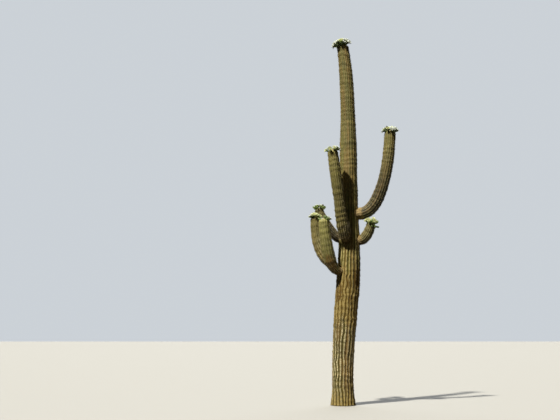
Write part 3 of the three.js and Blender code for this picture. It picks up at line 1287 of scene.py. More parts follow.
@dataclass
class SpineCoat:
    """Wool pads along a limb's rib crests, each with a star of spines.

    Every pad sits on a crest, and each crest's row starts at a chance share of a gap. A spine
    leans from the skin's normal by its own angle: outer ones lie nearly flat, and the middle ones
    stand. The skin's slope at a pad is probed by small steps of the turn and along the limb.
    """

    limb: Limb
    others: list[Limb]
    start: float
    end: float
    suffix: str
    horn: HornFinish
    felt: FeltFinish
    seed: int
    kept: float = 1.0
    gap: float = 0.025
    unrest: float = 0.32
    outer_count: int = 8
    middle_count: int = 3
    outer_length: Span = (0.010, 0.016)
    outer_lean: Span = (55, 80)
    outer_stray: float = 0.35
    middle_length: Span = (0.018, 0.030)
    middle_lean: Span = (5, 40)
    spine_radius: float = 0.00065
    spine_root: float = 0.5
    pad_size: Triple = (0.0036, 0.0046, 0.0028)
    pad_growth: Span = (0.75, 1.25)
    pad_sides: int = 6
    pad_sunk: float = 0.6
    probe: Span = (0.08, 0.006)

    def pads(self, random: np.random.Generator) -> tuple[Array, Array]:
        """Where the pads sit, and their axes.

        Args:
            random: the coat's source of chance.

        Returns:
            The pads' centres, and one 3 × 3 array a pad: sideways, along the limb, outwards.
        """
        ribs = self.limb.ribs
        count = int((self.end - self.start) / self.gap)
        turn, number = np.meshgrid(np.arange(ribs).astype(float), np.arange(count).astype(float))
        unrest = random.uniform(-self.unrest, self.unrest, turn.shape)
        along = self.start + (number + random.uniform(0.0, 1.0, ribs) + unrest) * self.gap
        turn, along = turn.ravel(), np.clip(along.ravel(), 0.0, self.end)
        centres = self.limb.skin(turn, along)
        step_turn, step_along = self.probe
        sideways = self.limb.skin(turn + step_turn, along) - self.limb.skin(turn - step_turn, along)
        upwards = self.limb.skin(turn, along + step_along * 0.5) - self.limb.skin(turn, along - step_along)
        outwards = unit(np.cross(sideways, upwards))
        upwards = unit(upwards)
        axes = np.stack([np.cross(upwards, outwards), upwards, outwards], axis=1)
        keep = np.isfinite(axes).all(axis=(1, 2)) & (random.uniform(size=len(turn)) < self.kept)
        for other in self.others:
            keep &= ~other.holds(centres)
        return centres[keep], axes[keep]

    def build(self) -> None:
        """Make the pads and the spines, each kind as one piece."""
        random = np.random.default_rng(self.seed)
        centres, axes = self.pads(random)
        name = self.limb.name + self.suffix
        grown = random.uniform(*self.pad_growth, (len(centres), 1, 1))
        mounds = self.pad_shape().placed(axes * grown * np.array(self.pad_size)[:, None], centres)
        felt = self.felt.material(f"{name}_wool_finish")
        attach(make_piece(f"{name}_wool_pads", mounds, felt))
        horn = self.horn.material(f"{name}_horn_finish")
        attach(make_piece(f"{name}_spines", self.thorns(centres, axes, random), horn))

    def pad_shape(self) -> Shape:
        """A low mound at the origin and 1 in size, from just under the skin to its own height."""
        ring = level_way(round_angles(self.pad_sides))
        return lofts(ring[None, None], UP[None] * -self.pad_sunk, UP[None])

    def thorns(self, centres: Array, axes: Array, random: np.random.Generator) -> Shape:
        """The spines: three-sided points from each pad.

        A spine points along outwards × cos(lean) + aside × sin(lean), where aside is
        sideways × cos(way) + along × sin(way).

        Args:
            centres: the pads' centres.
            axes: the pads' axes.
            random: the coat's source of chance.

        Returns:
            All the spines, joined.
        """
        pads, each = len(centres), self.outer_count + self.middle_count
        outer = np.arange(each) < self.outer_count
        star = np.arange(each) * (TURN / self.outer_count)
        astray = np.where(outer, self.outer_stray, math.pi)
        way = star + random.uniform(-1.0, 1.0, (pads, each)) * astray
        measures = (self.outer_lean, self.middle_lean, self.outer_length, self.middle_length)
        draws = [random.uniform(*measure, (pads, each)) for measure in measures]
        lean = np.radians(np.where(outer, draws[0], draws[1]))
        length = np.where(outer, draws[2], draws[3])
        local = np.stack([np.cos(way) * np.sin(lean), np.sin(way) * np.sin(lean), np.cos(lean)], axis=2)
        direction = np.einsum("pei,pij->pej", local, axes).reshape(-1, 3)
        spread = local * np.array([1.0, 1.0, 0.0]) * self.pad_size[0] * self.spine_root
        root = (centres[:, None, :] + np.einsum("pei,pij->pej", spread, axes)).reshape(-1, 3)
        base = root[:, None, :] + rims(direction, 3) * self.spine_radius
        tips = root + direction * length.reshape(-1, 1)
        points = np.concatenate([base, tips[:, None, :]], axis=1)
        faces = np.array([[0, 1, 3], [1, 2, 3], [2, 0, 3], [2, 1, 0]])
        return Shape(points.reshape(-1, 3), repeated(faces, len(root), 4))


class Stage(Enum):
    """How far a flower on a crown has come."""

    BUD = "bud"
    OPENING = "opening"
    OPEN = "open"
    SPENT = "spent"
    FRUIT = "fruit"


class Part(Enum):
    """The kinds of small form on the crowns, each joined into one piece of this name."""

    TUBES = "blossom_tubes"
    SCALES = "blossom_scales"
    PETALS = "white_petals"
    OPENING_PETALS = "opening_petals"
    STAMENS = "stamens"
    SPENT = "spent_blossoms"
    FRUIT = "young_fruit"
    WOOL = "tip_wool"


@dataclass(frozen=True)
class Whorl:
    """A ring of petals: how many, how long and wide as shares, and the lean at foot and tip.

    It stands at a share of the mouth's height, with a share of the mouth's radius at its foot.
    """

    count: int
    length: float
    start: float
    end: float
    width: float
    height: float
    foot: float = 1.0


CUP = Whorl(9, 0.95, 18.0, 64.0, 1.0, 0.95)
CONE = Whorl(9, 0.95, 22.0, -10.0, 1.1, 0.95, 0.85)
GREEN_RING = Whorl(6, 0.50, 50.0, 120.0, 0.7, 0.93)
WHITE_RING = Whorl(11, 1.0, 34.0, 112.0, 1.15, 0.97)
INNER_RING = Whorl(9, 0.9, 22.0, 80.0, 1.05, 0.97, 0.92)
LIMP_RING = Whorl(9, 1.0, 20.0, -35.0, 0.6, 0.92, 0.8)
DRIED_RING = Whorl(7, 0.85, 8.0, -12.0, 0.45, 0.92)


@dataclass
class Flower:
    """One flower at any stage, standing on the origin and pointing up +Z.

    An outline is heights and radii, from the foot up to the mouth. The tube's floor is its depths
    below the mouth and shares of its radius.
    """

    stage: Stage
    random: np.random.Generator
    tube_sides: int = 10
    petal_length: float = 0.045
    petal_width: float = 0.0100
    petal_thickness: float = 0.0009
    tube_outline: Outline = (
        (0.0, 0.010), (0.010, 0.0135), (0.024, 0.0115), (0.045, 0.0140), (0.064, 0.0185),
    )
    tube_floor: Outline = ((0.001, 0.90), (0.014, 0.62))
    bud_outline: Outline = (
        (0.0, 0.010), (0.010, 0.0135), (0.022, 0.0115), (0.040, 0.0140),
        (0.057, 0.0190), (0.071, 0.0185), (0.083, 0.0125), (0.090, 0.0050),
    )
    fruit_outline: Outline = (
        (0.0, 0.009), (0.010, 0.0165), (0.026, 0.0200), (0.042, 0.0175), (0.052, 0.0110),
    )
    foot_drop: float = 0.004
    mouth_bulge: float = 0.002
    petal_shares: Sizes = (0.0, 0.25, 0.5, 0.75, 0.94, 1.03)
    petal_turn: float = 0.25
    petal_lean: Span = (0.10, 0.22)
    petal_stretch: Span = (0.90, 1.08)
    petal_cup: float = 0.22
    petal_blunt: float = 0.7
    petal_widening: Span = (0.13, 0.78)
    petal_sunk: float = 0.004
    scale_count: int = 22
    scale_growth: Span = (0.7, 1.25)
    fruit_scales: float = 0.8
    scale_margin: Span = (0.006, 0.004)
    scale_half: float = 0.0042
    scale_lift: float = 0.0030
    scale_hollow: float = 0.3
    scale_out: float = 0.0062
    scale_rise: float = 0.0135
    scale_sunk: Span = (0.0012, 0.003)
    stamen_count: int = 44
    stamen_sides: int = 3
    stamen_spread: float = 0.55
    stamen_foot: float = 0.013
    stamen_lean: float = 0.42
    stamen_length: Span = (0.021, 0.004)
    stamen_stray: float = 0.002
    stamen_sunk: float = 0.002
    stamen_heights: Triple = (0.0, 0.86, 0.95)
    stamen_widths: Triple = (0.00045, 0.00045, 0.0013)

    def forms(self) -> dict[Part, Shape]:
        """The flower's forms by kind.

        Returns:
            What the method for its stage makes.
        """
        makers = {
            Stage.BUD: self.bud,
            Stage.OPENING: self.opening,
            Stage.OPEN: self.open,
            Stage.SPENT: self.spent,
            Stage.FRUIT: self.fruit,
        }
        return makers[self.stage]()

    def bud(self) -> dict[Part, Shape]:
        """A closed bud with its scales."""
        return {
            Part.TUBES: self.lathe(self.bud_outline),
            Part.SCALES: self.scales(self.bud_outline),
        }

    def tube(self) -> dict[Part, Shape]:
        """The tube under the petals: a swollen foot, a waist and a funnel, with scales outside.

        Returns:
            The forms by kind.
        """
        outside, (top, throat) = self.tube_outline, self.tube_outline[-1]
        floor = tuple((top - depth, throat * share) for depth, share in self.tube_floor)
        return {Part.TUBES: self.lathe(outside + floor), Part.SCALES: self.scales(outside)}

    def opening(self) -> dict[Part, Shape]:
        """A cup of yellowish petals round a cone that is still shut."""
        petals = Shape.joined([self.whorl(CUP), self.whorl(CONE)])
        return {**self.tube(), Part.OPENING_PETALS: petals}

    def open(self) -> dict[Part, Shape]:
        """Short greenish outer petals bent back, two whorls of white ones, and the stamens.

        Returns:
            The forms by kind.
        """
        petals = {
            Part.OPENING_PETALS: self.whorl(GREEN_RING),
            Part.PETALS: Shape.joined([self.whorl(WHITE_RING), self.whorl(INNER_RING)]),
            Part.STAMENS: self.stamens(),
        }
        return {**self.tube(), **petals}

    def spent(self) -> dict[Part, Shape]:
        """Limp dark petals folded over the tube's mouth."""
        limp = self.whorl(LIMP_RING)
        return {**self.tube(), Part.SPENT: limp}

    def fruit(self) -> dict[Part, Shape]:
        """A young fruit that still carries the dried flower.

        Returns:
            The forms by kind.
        """
        remains = self.whorl(DRIED_RING, self.fruit_outline[-1])
        return {
            Part.FRUIT: self.lathe(self.fruit_outline),
            Part.SCALES: self.scales(self.fruit_outline, self.fruit_scales),
            Part.SPENT: remains,
        }

    def lathe(self, outline: Outline) -> Shape:
        """An outline turned round +Z: x = radius × cos(angle), y = radius × sin(angle).

        Args:
            outline: heights and radii.

        Returns:
            The closed form.
        """
        heights, radii = np.array(outline).T
        rim = level_way(round_angles(self.tube_sides))
        rings = radii[:, None, None] * rim + heights[:, None, None] * UP
        rise = self.mouth_bulge if heights[-1] >= heights.max() else -self.mouth_bulge
        foot, mouth = heights[0] - self.foot_drop, heights[-1] + rise
        return lofts(rings[None], UP[None] * foot, UP[None] * mouth)

    def scales(self, outline: Outline, size: float = 1.0) -> Shape:
        """Pointed scales up the outside of an outline, each a golden turn on from the last.

        Args:
            outline: heights and radii.
            size: how large the scales are.

        Returns:
            The scales, which grow towards the top.
        """
        heights, radii = np.array(outline).T
        number = np.arange(self.scale_count)
        lowest, highest = heights[0] + self.scale_margin[0], heights[-1] - self.scale_margin[1]
        height = lerp(lowest, highest, number / (self.scale_count - 1))
        out = level_way(number * GOLDEN_TURN + self.random.uniform(0, TURN))
        radius = np.interp(height, heights, radii)
        grown = size * lerp(*self.scale_growth, number / self.scale_count)[:, None]
        root = out * (radius - self.scale_sunk[0])[:, None] + UP * height[:, None]
        half = np.cross(UP, out) * (self.scale_half * grown)
        lift = out * (self.scale_lift * grown)
        ring = [root - half, root + lift, root + half, root - lift * self.scale_hollow]
        tips = root + out * (self.scale_out * grown) + UP * (self.scale_rise * grown)
        return lofts(np.stack(ring, axis=1)[:, None], root - UP * self.scale_sunk[1], tips)

    def whorl(self, ring: Whorl, mouth: Span | None = None) -> Shape:
        """A whorl of petals: blunt lens-shaped strips that bend in the plane through the axis.

        The lean from the axis grows evenly from start to end degrees along a petal, so with lean a
        the path is r = radius + length / (end − start) × (cos start − cos a), and z is
        length / (end − start) × (sin a − sin start).

        Args:
            ring: the whorl's measures.
            mouth: the height and radius of what it stands on, else the tube's.

        Returns:
            The petals, joined.
        """
        top, radius = mouth or self.tube_outline[-1]
        count, length = ring.count, self.petal_length * ring.length
        stray = self.random.uniform(-self.petal_turn, self.petal_turn, count)
        angle = (np.arange(count) + stray) * (TURN / count) + self.random.uniform(0, TURN)
        first, last = (
            math.radians(lean) + self.random.uniform(-off, off, (count, 1))
            for lean, off in zip((ring.start, ring.end), self.petal_lean)
        )
        share = np.array(self.petal_shares)[None, :]
        lean = lerp(first, last, share)
        bend = length * self.random.uniform(*self.petal_stretch, (count, 1)) / (last - first)
        out = radius * ring.foot + bend * (np.cos(first) - np.cos(lean))
        height = bend * (np.sin(lean) - np.sin(first))
        radial = level_way(angle)[:, None, :]
        lateral = np.cross(UP, radial)
        path = radial * out[..., None] + UP * height[..., None]
        forward = radial * np.sin(lean)[..., None] + UP * np.cos(lean)[..., None]
        inward = np.cross(forward, np.broadcast_to(lateral, forward.shape))
        least, more = self.petal_widening
        outline = np.sin(math.pi * (least + more * np.clip(share, 0.0, 1.0))) ** self.petal_blunt
        half = self.petal_width * ring.width * outline[..., None] * np.ones((count, 1, 1))
        cup = inward * half * self.petal_cup
        thick = inward * self.petal_thickness
        edge = lateral * half
        lens = np.stack([path + edge + cup, path + thick, path - edge + cup, path - thick], axis=2)
        foot = path[:, 0] - forward[:, 0] * self.petal_sunk
        return lofts(lens[:, :-1], foot, path[:, -1]).raised(top * ring.height)

    def stamens(self) -> Shape:
        """Thin threads with small heads that fill the throat, a golden turn apart.

        The distance from the axis goes with the square root of the number, so they fill it evenly.

        Returns:
            The stamens, joined.
        """
        number = np.arange(self.stamen_count) + 0.5
        spread = np.sqrt(number / self.stamen_count)
        out = level_way(number * GOLDEN_TURN)
        top, throat = self.tube_outline[-1]
        foot = out * (spread * throat * self.stamen_spread)[:, None] + UP * (top - self.stamen_foot)
        lean = spread * self.stamen_lean
        direction = out * np.sin(lean)[:, None] + UP * np.cos(lean)[:, None]
        longest, less = self.stamen_length
        stray = self.random.uniform(-self.stamen_stray, self.stamen_stray, len(number))
        length = longest - less * spread + stray
        climb = length[:, None] * np.array(self.stamen_heights)
        at = foot[:, None, :] + direction[:, None, :] * climb[..., None]
        width = np.array(self.stamen_widths)[None, :, None, None]
        rings = at[:, :, None, :] + rims(direction, self.stamen_sides)[:, None, :, :] * width
        starts, ends = foot - direction * self.stamen_sunk, foot + direction * length[:, None]
        return lofts(rings, starts, ends)


@dataclass(frozen=True)
class Row:
    """A ring of flowers on a tip.

    It lies below the tip by a share of the dome. Its flowers lean out by lean degrees, stand a gap
    apart, and are all as large as its size says.
    """

    below: float
    lean: float
    gap: float
    size: float


CROWN_FINISHES = {
    Part.TUBES: WaxFinish((0.130, 0.190, 0.040), (0.045, 0.078, 0.014)),
    Part.SCALES: WaxFinish((0.42, 0.50, 0.16), (0.17, 0.25, 0.05)),
    Part.PETALS: WaxFinish((0.60, 0.64, 0.56), (0.46, 0.52, 0.41), 0.4, glow=0.6),
    Part.OPENING_PETALS: WaxFinish((0.72, 0.74, 0.38), (0.48, 0.54, 0.20), glow=0.5),
    Part.STAMENS: WaxFinish((0.80, 0.66, 0.25), (0.70, 0.52, 0.15)),
    Part.SPENT: WaxFinish((0.12, 0.075, 0.03), (0.035, 0.022, 0.012), 0.7),
    Part.FRUIT: WaxFinish((0.16, 0.20, 0.06), (0.10, 0.12, 0.035)),
    Part.WOOL: FeltFinish((0.34, 0.29, 0.16), (0.16, 0.12, 0.06)),
}
TIP_ROWS = (Row(0.30, 54.0, 0.050, 1.0), Row(0.10, 32.0, 0.052, 1.0), Row(0.01, 11.0, 0.060, 1.0))
STAGE_ODDS = ((0.68, Stage.BUD), (0.78, Stage.OPENING), (0.90, Stage.SPENT), (1.0, Stage.FRUIT))


@dataclass(frozen=True)
class Spot:
    """A stretch of one row round a heading, in degrees from +X, whose flowers are alike."""

    row: int
    heading: float
    stage: Stage | None
    reach: float = 24.0

    def holds(self, row: int, heading: float) -> bool:
        """Whether a flower of a row at a heading is in the stretch."""
        apart = (heading - self.heading + 180.0) % 360.0 - 180.0
        return row == self.row and abs(apart) < self.reach


def heading_of(direction: Array) -> float:
    """The heading of a direction, in degrees from +X."""
    return math.degrees(math.atan2(direction[1], direction[0]))


@dataclass(kw_only=True)
class Crown:
    """The flowers on one limb's tip, in rows round a mound of wool.

    A tilted crown turns its axis towards a heading, and its rows drop on that side. A spot
    without a stage stays bare.
    """

    limb: Limb
    seed: int
    spots: tuple[Spot, ...] = ()
    size: float = 1.0
    far_side: float = 0.15
    far_open_share: float = 0.30
    tilt: float = 0.0
    tilt_towards: float = 0.0
    half_length: float = 0.032
    turn_stray: float = 0.22
    lean_stray: float = 11.0
    foot_stray: float = 0.012
    foot_sunk: float = 0.006
    growth: Span = (0.86, 1.10)
    wool_reach: float = 0.22
    wool_rings: int = 7
    wool_sides: int = 24
    wool_middle: float = 0.12
    wool_stray: float = 0.003
    wool_lift: Span = (0.003, 0.008)
    wool_top: float = 0.012
    wool_foot: float = 0.4
    rows: tuple[Row, ...] = TIP_ROWS
    made: dict[Part, list[Shape]] = field(init=False)
    random: np.random.Generator = field(init=False)

    def __post_init__(self) -> None:
        """Start with nothing on the tip."""
        self.random = np.random.default_rng(self.seed)
        self.made = {part: [] for part in Part}

    def axis(self) -> Array:
        """Where the crown looks: end × cos(tilt) + heading × sin(tilt), at length 1."""
        aside, tilted = level_way(math.radians(self.tilt_towards)), math.radians(self.tilt)
        return unit(self.limb.forward[-1] * math.cos(tilted) + aside * math.sin(tilted))

    def gather(self) -> dict[Part, list[Shape]]:
        """Plant every row, and lay the wool.

        Returns:
            Every form on the tip by kind, in its place.
        """
        for number, row in enumerate(self.rows):
            self.plant(number, row)
        self.made[Part.WOOL].append(self.wool())
        return self.made

    def plant(self, number: int, row: Row) -> None:
        """Set one row's flowers round the tip.

        Args:
            number: the row's number, from the brim.
            row: its measures.
        """
        limb, random, axis = self.limb, self.random, self.axis()
        below = np.array([limb.length - limb.dome * row.below])
        across_tip = float((limb.girth(below) * limb.rounding(below))[0])
        middle = across_tip + self.half_length * self.size * math.sin(math.radians(row.lean))
        count = max(3, int(TURN * middle / (row.gap * self.size)))
        stray = random.uniform(-self.turn_stray, self.turn_stray, count)
        turns = (np.arange(count) + stray) * limb.ribs / count
        centre = limb.on_line(limb.line, below)[0]
        outward = unit(limb.skin(turns, np.full(count, below[0])) - centre)
        fall = outward @ axis
        lower = random.uniform(0.0, self.foot_stray, count)
        feet = limb.skin(turns, below[0] - limb.dome * fall - lower)
        outward = unit(outward - fall[:, None] * axis)
        for foot, aside in zip(feet, outward):
            stage = self.stage_of(aside, number)
            if stage is None:
                continue
            lean = math.radians(row.lean + random.uniform(-self.lean_stray, self.lean_stray))
            direction = axis * math.cos(lean) + aside * math.sin(lean)
            scale = self.size * row.size * random.uniform(*self.growth)
            self.add_flower(Flower(stage, random), foot, direction, scale)

    def stage_of(self, aside: Array, row: int) -> Stage | None:
        """What a flower is, from the side of the tip that it is on.

        Args:
            aside: the direction from the crown's axis to it.
            row: the number of its row, from the brim.

        Returns:
            What the crown's spots say, else mostly buds, with open flowers on the far side.
        """
        heading = heading_of(aside)
        draw = self.random.uniform()
        for spot in self.spots:
            if spot.holds(row, heading):
                return spot.stage
        if aside[1] > self.far_side and draw < self.far_open_share:
            return Stage.OPEN
        return next(stage for most, stage in STAGE_ODDS if draw < most)

    def add_flower(self, flower: Flower, foot: Array, direction: Array, scale: float) -> None:
        """Put a flower's forms in place, at a chance turn about its own axis.

        Args:
            flower: the flower.
            foot: where it stands on the skin.
            direction: where it points.
            scale: how large it is.
        """
        first, second = across(direction)
        spin = self.random.uniform(0, TURN)
        x_axis = first * math.cos(spin) + second * math.sin(spin)
        axes = np.stack([x_axis, np.cross(direction, x_axis), direction])[None] * scale
        for part, shape in flower.forms().items():
            self.made[part].append(shape.placed(axes, (foot - direction * self.foot_sunk)[None]))

    def wool(self) -> Shape:
        """A low mound of wool over the tip: rings of the skin, raised more towards the middle.

        Returns:
            The mound, with uneven tufts.
        """
        limb, tip, axis = self.limb, self.limb.line[-1], self.limb.forward[-1]
        fall = np.linspace(1.0, self.wool_middle, self.wool_rings)[:, None]
        angle = round_angles(self.wool_sides)[None, :]
        along = limb.length - limb.dome * self.wool_reach * fall * np.ones_like(angle)
        base = limb.skin(angle / TURN * limb.ribs, along)
        least, more = self.wool_lift
        tufts = self.random.uniform(-self.wool_stray, self.wool_stray, (*along.shape, 1))
        grid = base + axis * (least + more * (1.0 - fall[..., None]) + tufts)
        start, end = tip - axis * limb.dome * self.wool_foot, tip + axis * self.wool_top
        return lofts(grid[None], start[None], end[None])


@dataclass(frozen=True)
class Sun:
    """A distant lamp: its tilt from straight down and its turn in degrees, and how soft it is."""

    name: str
    tilt: float
    turn: float
    strength: float
    spread: float
    colour: Colour

    def build(self) -> None:
        """Hang the lamp."""
        light = bpy.data.lights.new(self.name, "SUN")
        light.energy = self.strength
        light.angle = math.radians(self.spread)
        light.color = self.colour
        lamp = put_in_scene(self.name, light)
        lamp.rotation_euler = (math.radians(self.tilt), 0.0, math.radians(self.turn))


@dataclass
class Studio:
    """A plain pale floor, a sun, two weak lamps and a camera at eye height that looks a little up.

    The wide lamp behind the plant shows its far side, and leaves what faces the camera alone.
    """

    floor_half: float = 180.0
    floor_level: float = -0.002
    floor_roughness: float = 0.9
    floor_colour: Colour = (0.30, 0.295, 0.28)
    air_colour: Colour = (0.60, 0.64, 0.68)
    fill_colour: Colour = (0.036, 0.034, 0.027)
    sun: Sun = Sun("studio_sun", 35.0, -40.6, 7.4, 2.5, (1.0, 0.955, 0.84))
    back_light: Sun = Sun("studio_back_light", 55.0, 180.0, 2.6, 70.0, (0.92, 0.96, 1.0))
    low_fill: float = 160.0
    low_fill_colour: Colour = (1.0, 0.82, 0.52)
    low_fill_place: Triple = (3.6, -3.4, 1.3)
    low_fill_angle: float = 38.0
    low_fill_size: float = 0.8
    eye: Triple = (-1.366, -18.6, 1.5)
    sight: float = 500.0
    look_up: float = 8.454
    focal_pixels: float = 841.0
    frame_pixels: float = 560.0
    sensor: float = 36.0

    def build(self) -> None:
        """Set the stage."""
        self.floor()
        self.air()
        self.sun.build()
        self.back_light.build()
        self.low_lamp()
        self.camera()

    def floor(self) -> None:
        """A level floor just under the ground plane, which throws no light back on the plant."""
        half, low = self.floor_half, self.floor_level
        corners = [(-half, -half, low), (half, -half, low), (half, half, low), (-half, half, low)]
        mesh = bpy.data.meshes.new("studio_floor")
        mesh.from_pydata(corners, [], [(0, 1, 2, 3)])
        graph = Graph(bpy.data.materials.new("studio_floor_finish"))
        finish = graph.finish(Base_Color=self.floor_colour, Roughness=self.floor_roughness)
        mesh.materials.append(finish)
        floor = put_in_scene("studio_floor", mesh)
        floor.visible_diffuse = False

    def air(self) -> None:
        """An even pale surround to the camera, and a faint warm one to everything else."""
        world = bpy.data.worlds.new("studio_air")
        graph = Graph(world)
        seen = graph.value("ShaderNodeLightPath", {}, {}, "Is Camera Ray")
        colour = graph.mix(seen, self.fill_colour, self.air_colour)
        background = graph.node("ShaderNodeBackground", {}, {"Color": colour})
        graph.node("ShaderNodeOutputWorld", {}, {"Surface": background.outputs["Background"]})
        bpy.context.scene.world = world
        bpy.context.scene.view_settings.view_transform = "Standard"

    def low_lamp(self) -> None:
        """A weak warm lamp near the ground at the right, as light thrown up by dry ground."""
        light = bpy.data.lights.new("studio_low_fill", "SPOT")
        light.energy = self.low_fill
        light.color = self.low_fill_colour
        light.shadow_soft_size = self.low_fill_size
        light.spot_size = math.radians(self.low_fill_angle)
        light.spot_blend = 1.0
        lamp = put_in_scene("studio_low_fill", light)
        lamp.location = self.low_fill_place
        away = math.atan2(self.low_fill_place[1], self.low_fill_place[0])
        lamp.rotation_euler = (math.radians(90.0), 0.0, away + math.radians(90.0))

    def camera(self) -> None:
        """The camera, whose focal length follows from its length in pixels."""
        data = bpy.data.cameras.new("studio_camera")
        data.sensor_width = self.sensor
        data.lens = self.sensor * self.focal_pixels / self.frame_pixels
        data.clip_end = self.sight
        camera = put_in_scene("studio_camera", data)
        camera.location = self.eye
        camera.rotation_euler = (math.radians(90.0 + self.look_up), 0.0, 0.0)
        bpy.context.scene.camera = camera


@dataclass
class Saguaro:
    """The whole plant: a stem, six arms, the spines on them and a crown on each tip.

    An old foot is as much of an arm as carries long pale spines.
    """

    stem: Stem = field(init=False)
    arms: dict[str, Arm] = field(init=False)
    old_feet: dict[str, float] = field(default_factory=lambda: {"front_arm": 0.62})
    old_spines: Span = (0.040, 0.068)
    bare_foot: float = 0.02
    bare_tip: float = 0.03
    stem_stretches: Triple = (0.05, 2.75, 5.45)

    def __post_init__(self) -> None:
        """Lay out the limbs."""
        self.stem = Stem(
            name="main_stem", nodes=("main_stem",), slot="main_stem_skin", seed=11, ribs=20,
            dome=0.090, ring_gap=0.0172,
            finish=SkinFinish(
                flank_soft=(0.143, 0.132, 0.031), crest_soft=(0.198, 0.178, 0.053),
                year_ring=(0.226, 0.198, 0.066), stain=(0.085, 0.046, 0.004), brown_share=0.48,
            ),
            stains=(
                Scar(2.72, -48.0, 0.26, 0.10), Scar(2.42, -142.0, 0.24, 0.11),
                Scar(2.62, -96.0, 0.12, 0.05, 0.8), Scar(2.30, -78.0, 0.10, 0.07, 0.8),
                Scar(2.55, 60.0, 0.18, 0.12), Scar(2.25, 150.0, 0.14, 0.10),
            ),
        )
        self.arms = {}
        # Each arm's tone and painted shade runs from its foot to its tip: partly the skin's own darker,
        # greener tone low on the arm, partly painted shade under the elbows; above 1 it lightens the skin.
        self.add_arm(
            "front_arm", seed=21, parent=self.stem, leaves=3.632, heading=-115.5, root=0.220,
            reach=0.446, rise=1.888, round_out=2.05, round_up=1.0, drift_aside=-0.121, neck=0.104,
            full=0.127, tip=0.116, swell=0.21, dome=0.085, shade=(0.54, 1.20), year_bulge=0.0042,
            rib_depth=0.0065, foot_bulge=0.0050,
            waist_height=4.45, waist_depth=0.011, finish=SkinFinish(brown_share=0.12),
        )
        self.add_arm(
            "long_right_arm", seed=31, parent=self.stem, leaves=4.168, heading=-12.0, root=0.165,
            reach=0.786, rise=1.865, round_out=2.67, round_up=1.52, neck=0.117, full=0.137,
            tip=0.126, swell=0.16, dome=0.090, shade=(0.13, 1.04), callus_share=0.80,
            shade_from=0.34, bold=0.5, collar=0.11, finish=SkinFinish(brown_share=0.26),
        )
        self.add_arm(
            "short_right_arm", seed=41, parent=self.stem, leaves=3.566, heading=-20.0, root=0.191,
            reach=0.330, rise=0.395, round_out=2.44, round_up=1.05, neck=0.076, full=0.114,
            tip=0.100, swell=0.50, dome=0.075, shade=(0.30, 0.60), finish=GREEN_SKIN,
        )
        self.add_arm(
            "left_inner_arm", seed=51, parent=self.stem, leaves=2.884, heading=-147.0, root=0.186,
            reach=0.484, rise=1.130, round_out=2.89, round_up=1.52, neck=0.079, full=0.137,
            tip=0.120, swell=0.50, dome=0.085, shade=(0.76, 1.46), finish=GREEN_SKIN,
            rib_depth=0.007, year_bulge=0.0052, foot_bulge=0.0020,
            stains=(Scar(0.56, -100.0, 0.22, 0.11, 0.8),),
        )
        self.add_arm(
            "left_outer_arm", seed=61, parent=self.arms["left_inner_arm"], leaves=2.965,
            heading=154.0, root=0.0, reach=0.430, rise=1.150, round_out=1.0, round_up=2.85,
            neck=0.080, full=0.128, tip=0.108, swell=0.25, dome=0.080, shade=(0.78, 0.90),
            year_bulge=0.0040, finish=SkinFinish(brown_share=0.22),
        )
        # Painted shade on the back left arm: its low tone and painted shade towards the foot, low
        # boldness, small callus share and darkened brown, cork and callus colours stand partly for shade,
        # and its near-black stain patch under the elbow is painted shadow.
        self.add_arm(
            "back_left_arm", seed=71, parent=self.stem, leaves=3.626, heading=165.0, root=0.205,
            reach=0.497, rise=0.705, round_out=1.39, round_up=1.23, neck=0.088, full=0.117,
            tip=0.098, swell=0.55, dome=0.075, shade=(0.06, 0.62), callus_share=0.1,
            shade_from=0.45, bold=0.10, stains=(Scar(0.36, -165.0, 0.30, 0.12),), finish=SkinFinish(
                brown=(0.100, 0.060, 0.020), stain=(0.014, 0.010, 0.003),
                cork_dark=(0.014, 0.009, 0.002), cork_pale=(0.070, 0.050, 0.018),
                callus=(0.060, 0.042, 0.019), brown_share=0.25,
            ),
        )
        self.stem.seats = [arm.seat() for arm in self.arms.values() if arm.parent is self.stem]

    def add_arm(self, name: str, **sizes: Any) -> None:
        """Add an arm by its sizes. Its skin stands for both of its nodes."""
        self.arms[name] = Arm(name=name, nodes=(f"{name}_elbow", f"{name}_upright"), **sizes)

    def limbs(self) -> list[Limb]:
        """The stem and the arms."""
        return [self.stem, *self.arms.values()]

    def build(self) -> None:
        """Make the skins, the spines and the crowns."""
        for limb in self.limbs():
            limb.build_skin()
        self.build_spines()
        self.build_crowns()

    def build_spines(self) -> None:
        """Grey spines low on the stem, straw ones above and on the arms, long ones on an old foot."""
        grey = HornFinish((0.34, 0.30, 0.23), (0.16, 0.13, 0.09))
        straw = HornFinish((0.42, 0.35, 0.20), (0.24, 0.19, 0.10))
        pale = HornFinish((0.62, 0.55, 0.38), (0.36, 0.30, 0.18))
        old_felt = FeltFinish((0.20, 0.16, 0.10), (0.07, 0.055, 0.035))
        felt = FeltFinish((0.32, 0.27, 0.15), (0.17, 0.135, 0.07))
        arms = list(self.arms.values())
        low, middle, high = self.stem_stretches
        top = self.stem.length - self.bare_tip
        coats = [
            SpineCoat(self.stem, arms, low, middle, "_lower", grey, old_felt, 100, kept=0.45),
            SpineCoat(self.stem, arms, middle, high, "_middle", straw, felt, 101, kept=0.8),
            SpineCoat(self.stem, arms, high, top, "_upper", straw, felt, 102),
        ]
        for number, arm in enumerate(arms):
            others = [limb for limb in self.limbs() if limb is not arm]
            start, end = self.bare_foot, arm.length - self.bare_tip
            foot = self.old_feet.get(arm.name, 0.0)
            coats.append(SpineCoat(arm, others, start + foot, end, "", straw, felt, 200 + number))
            if foot:
                long = {"middle_length": self.old_spines}
                coats.append(SpineCoat(arm, others, start, foot, "_foot", pale, felt, 250, **long))
        for coat in coats:
            coat.build()

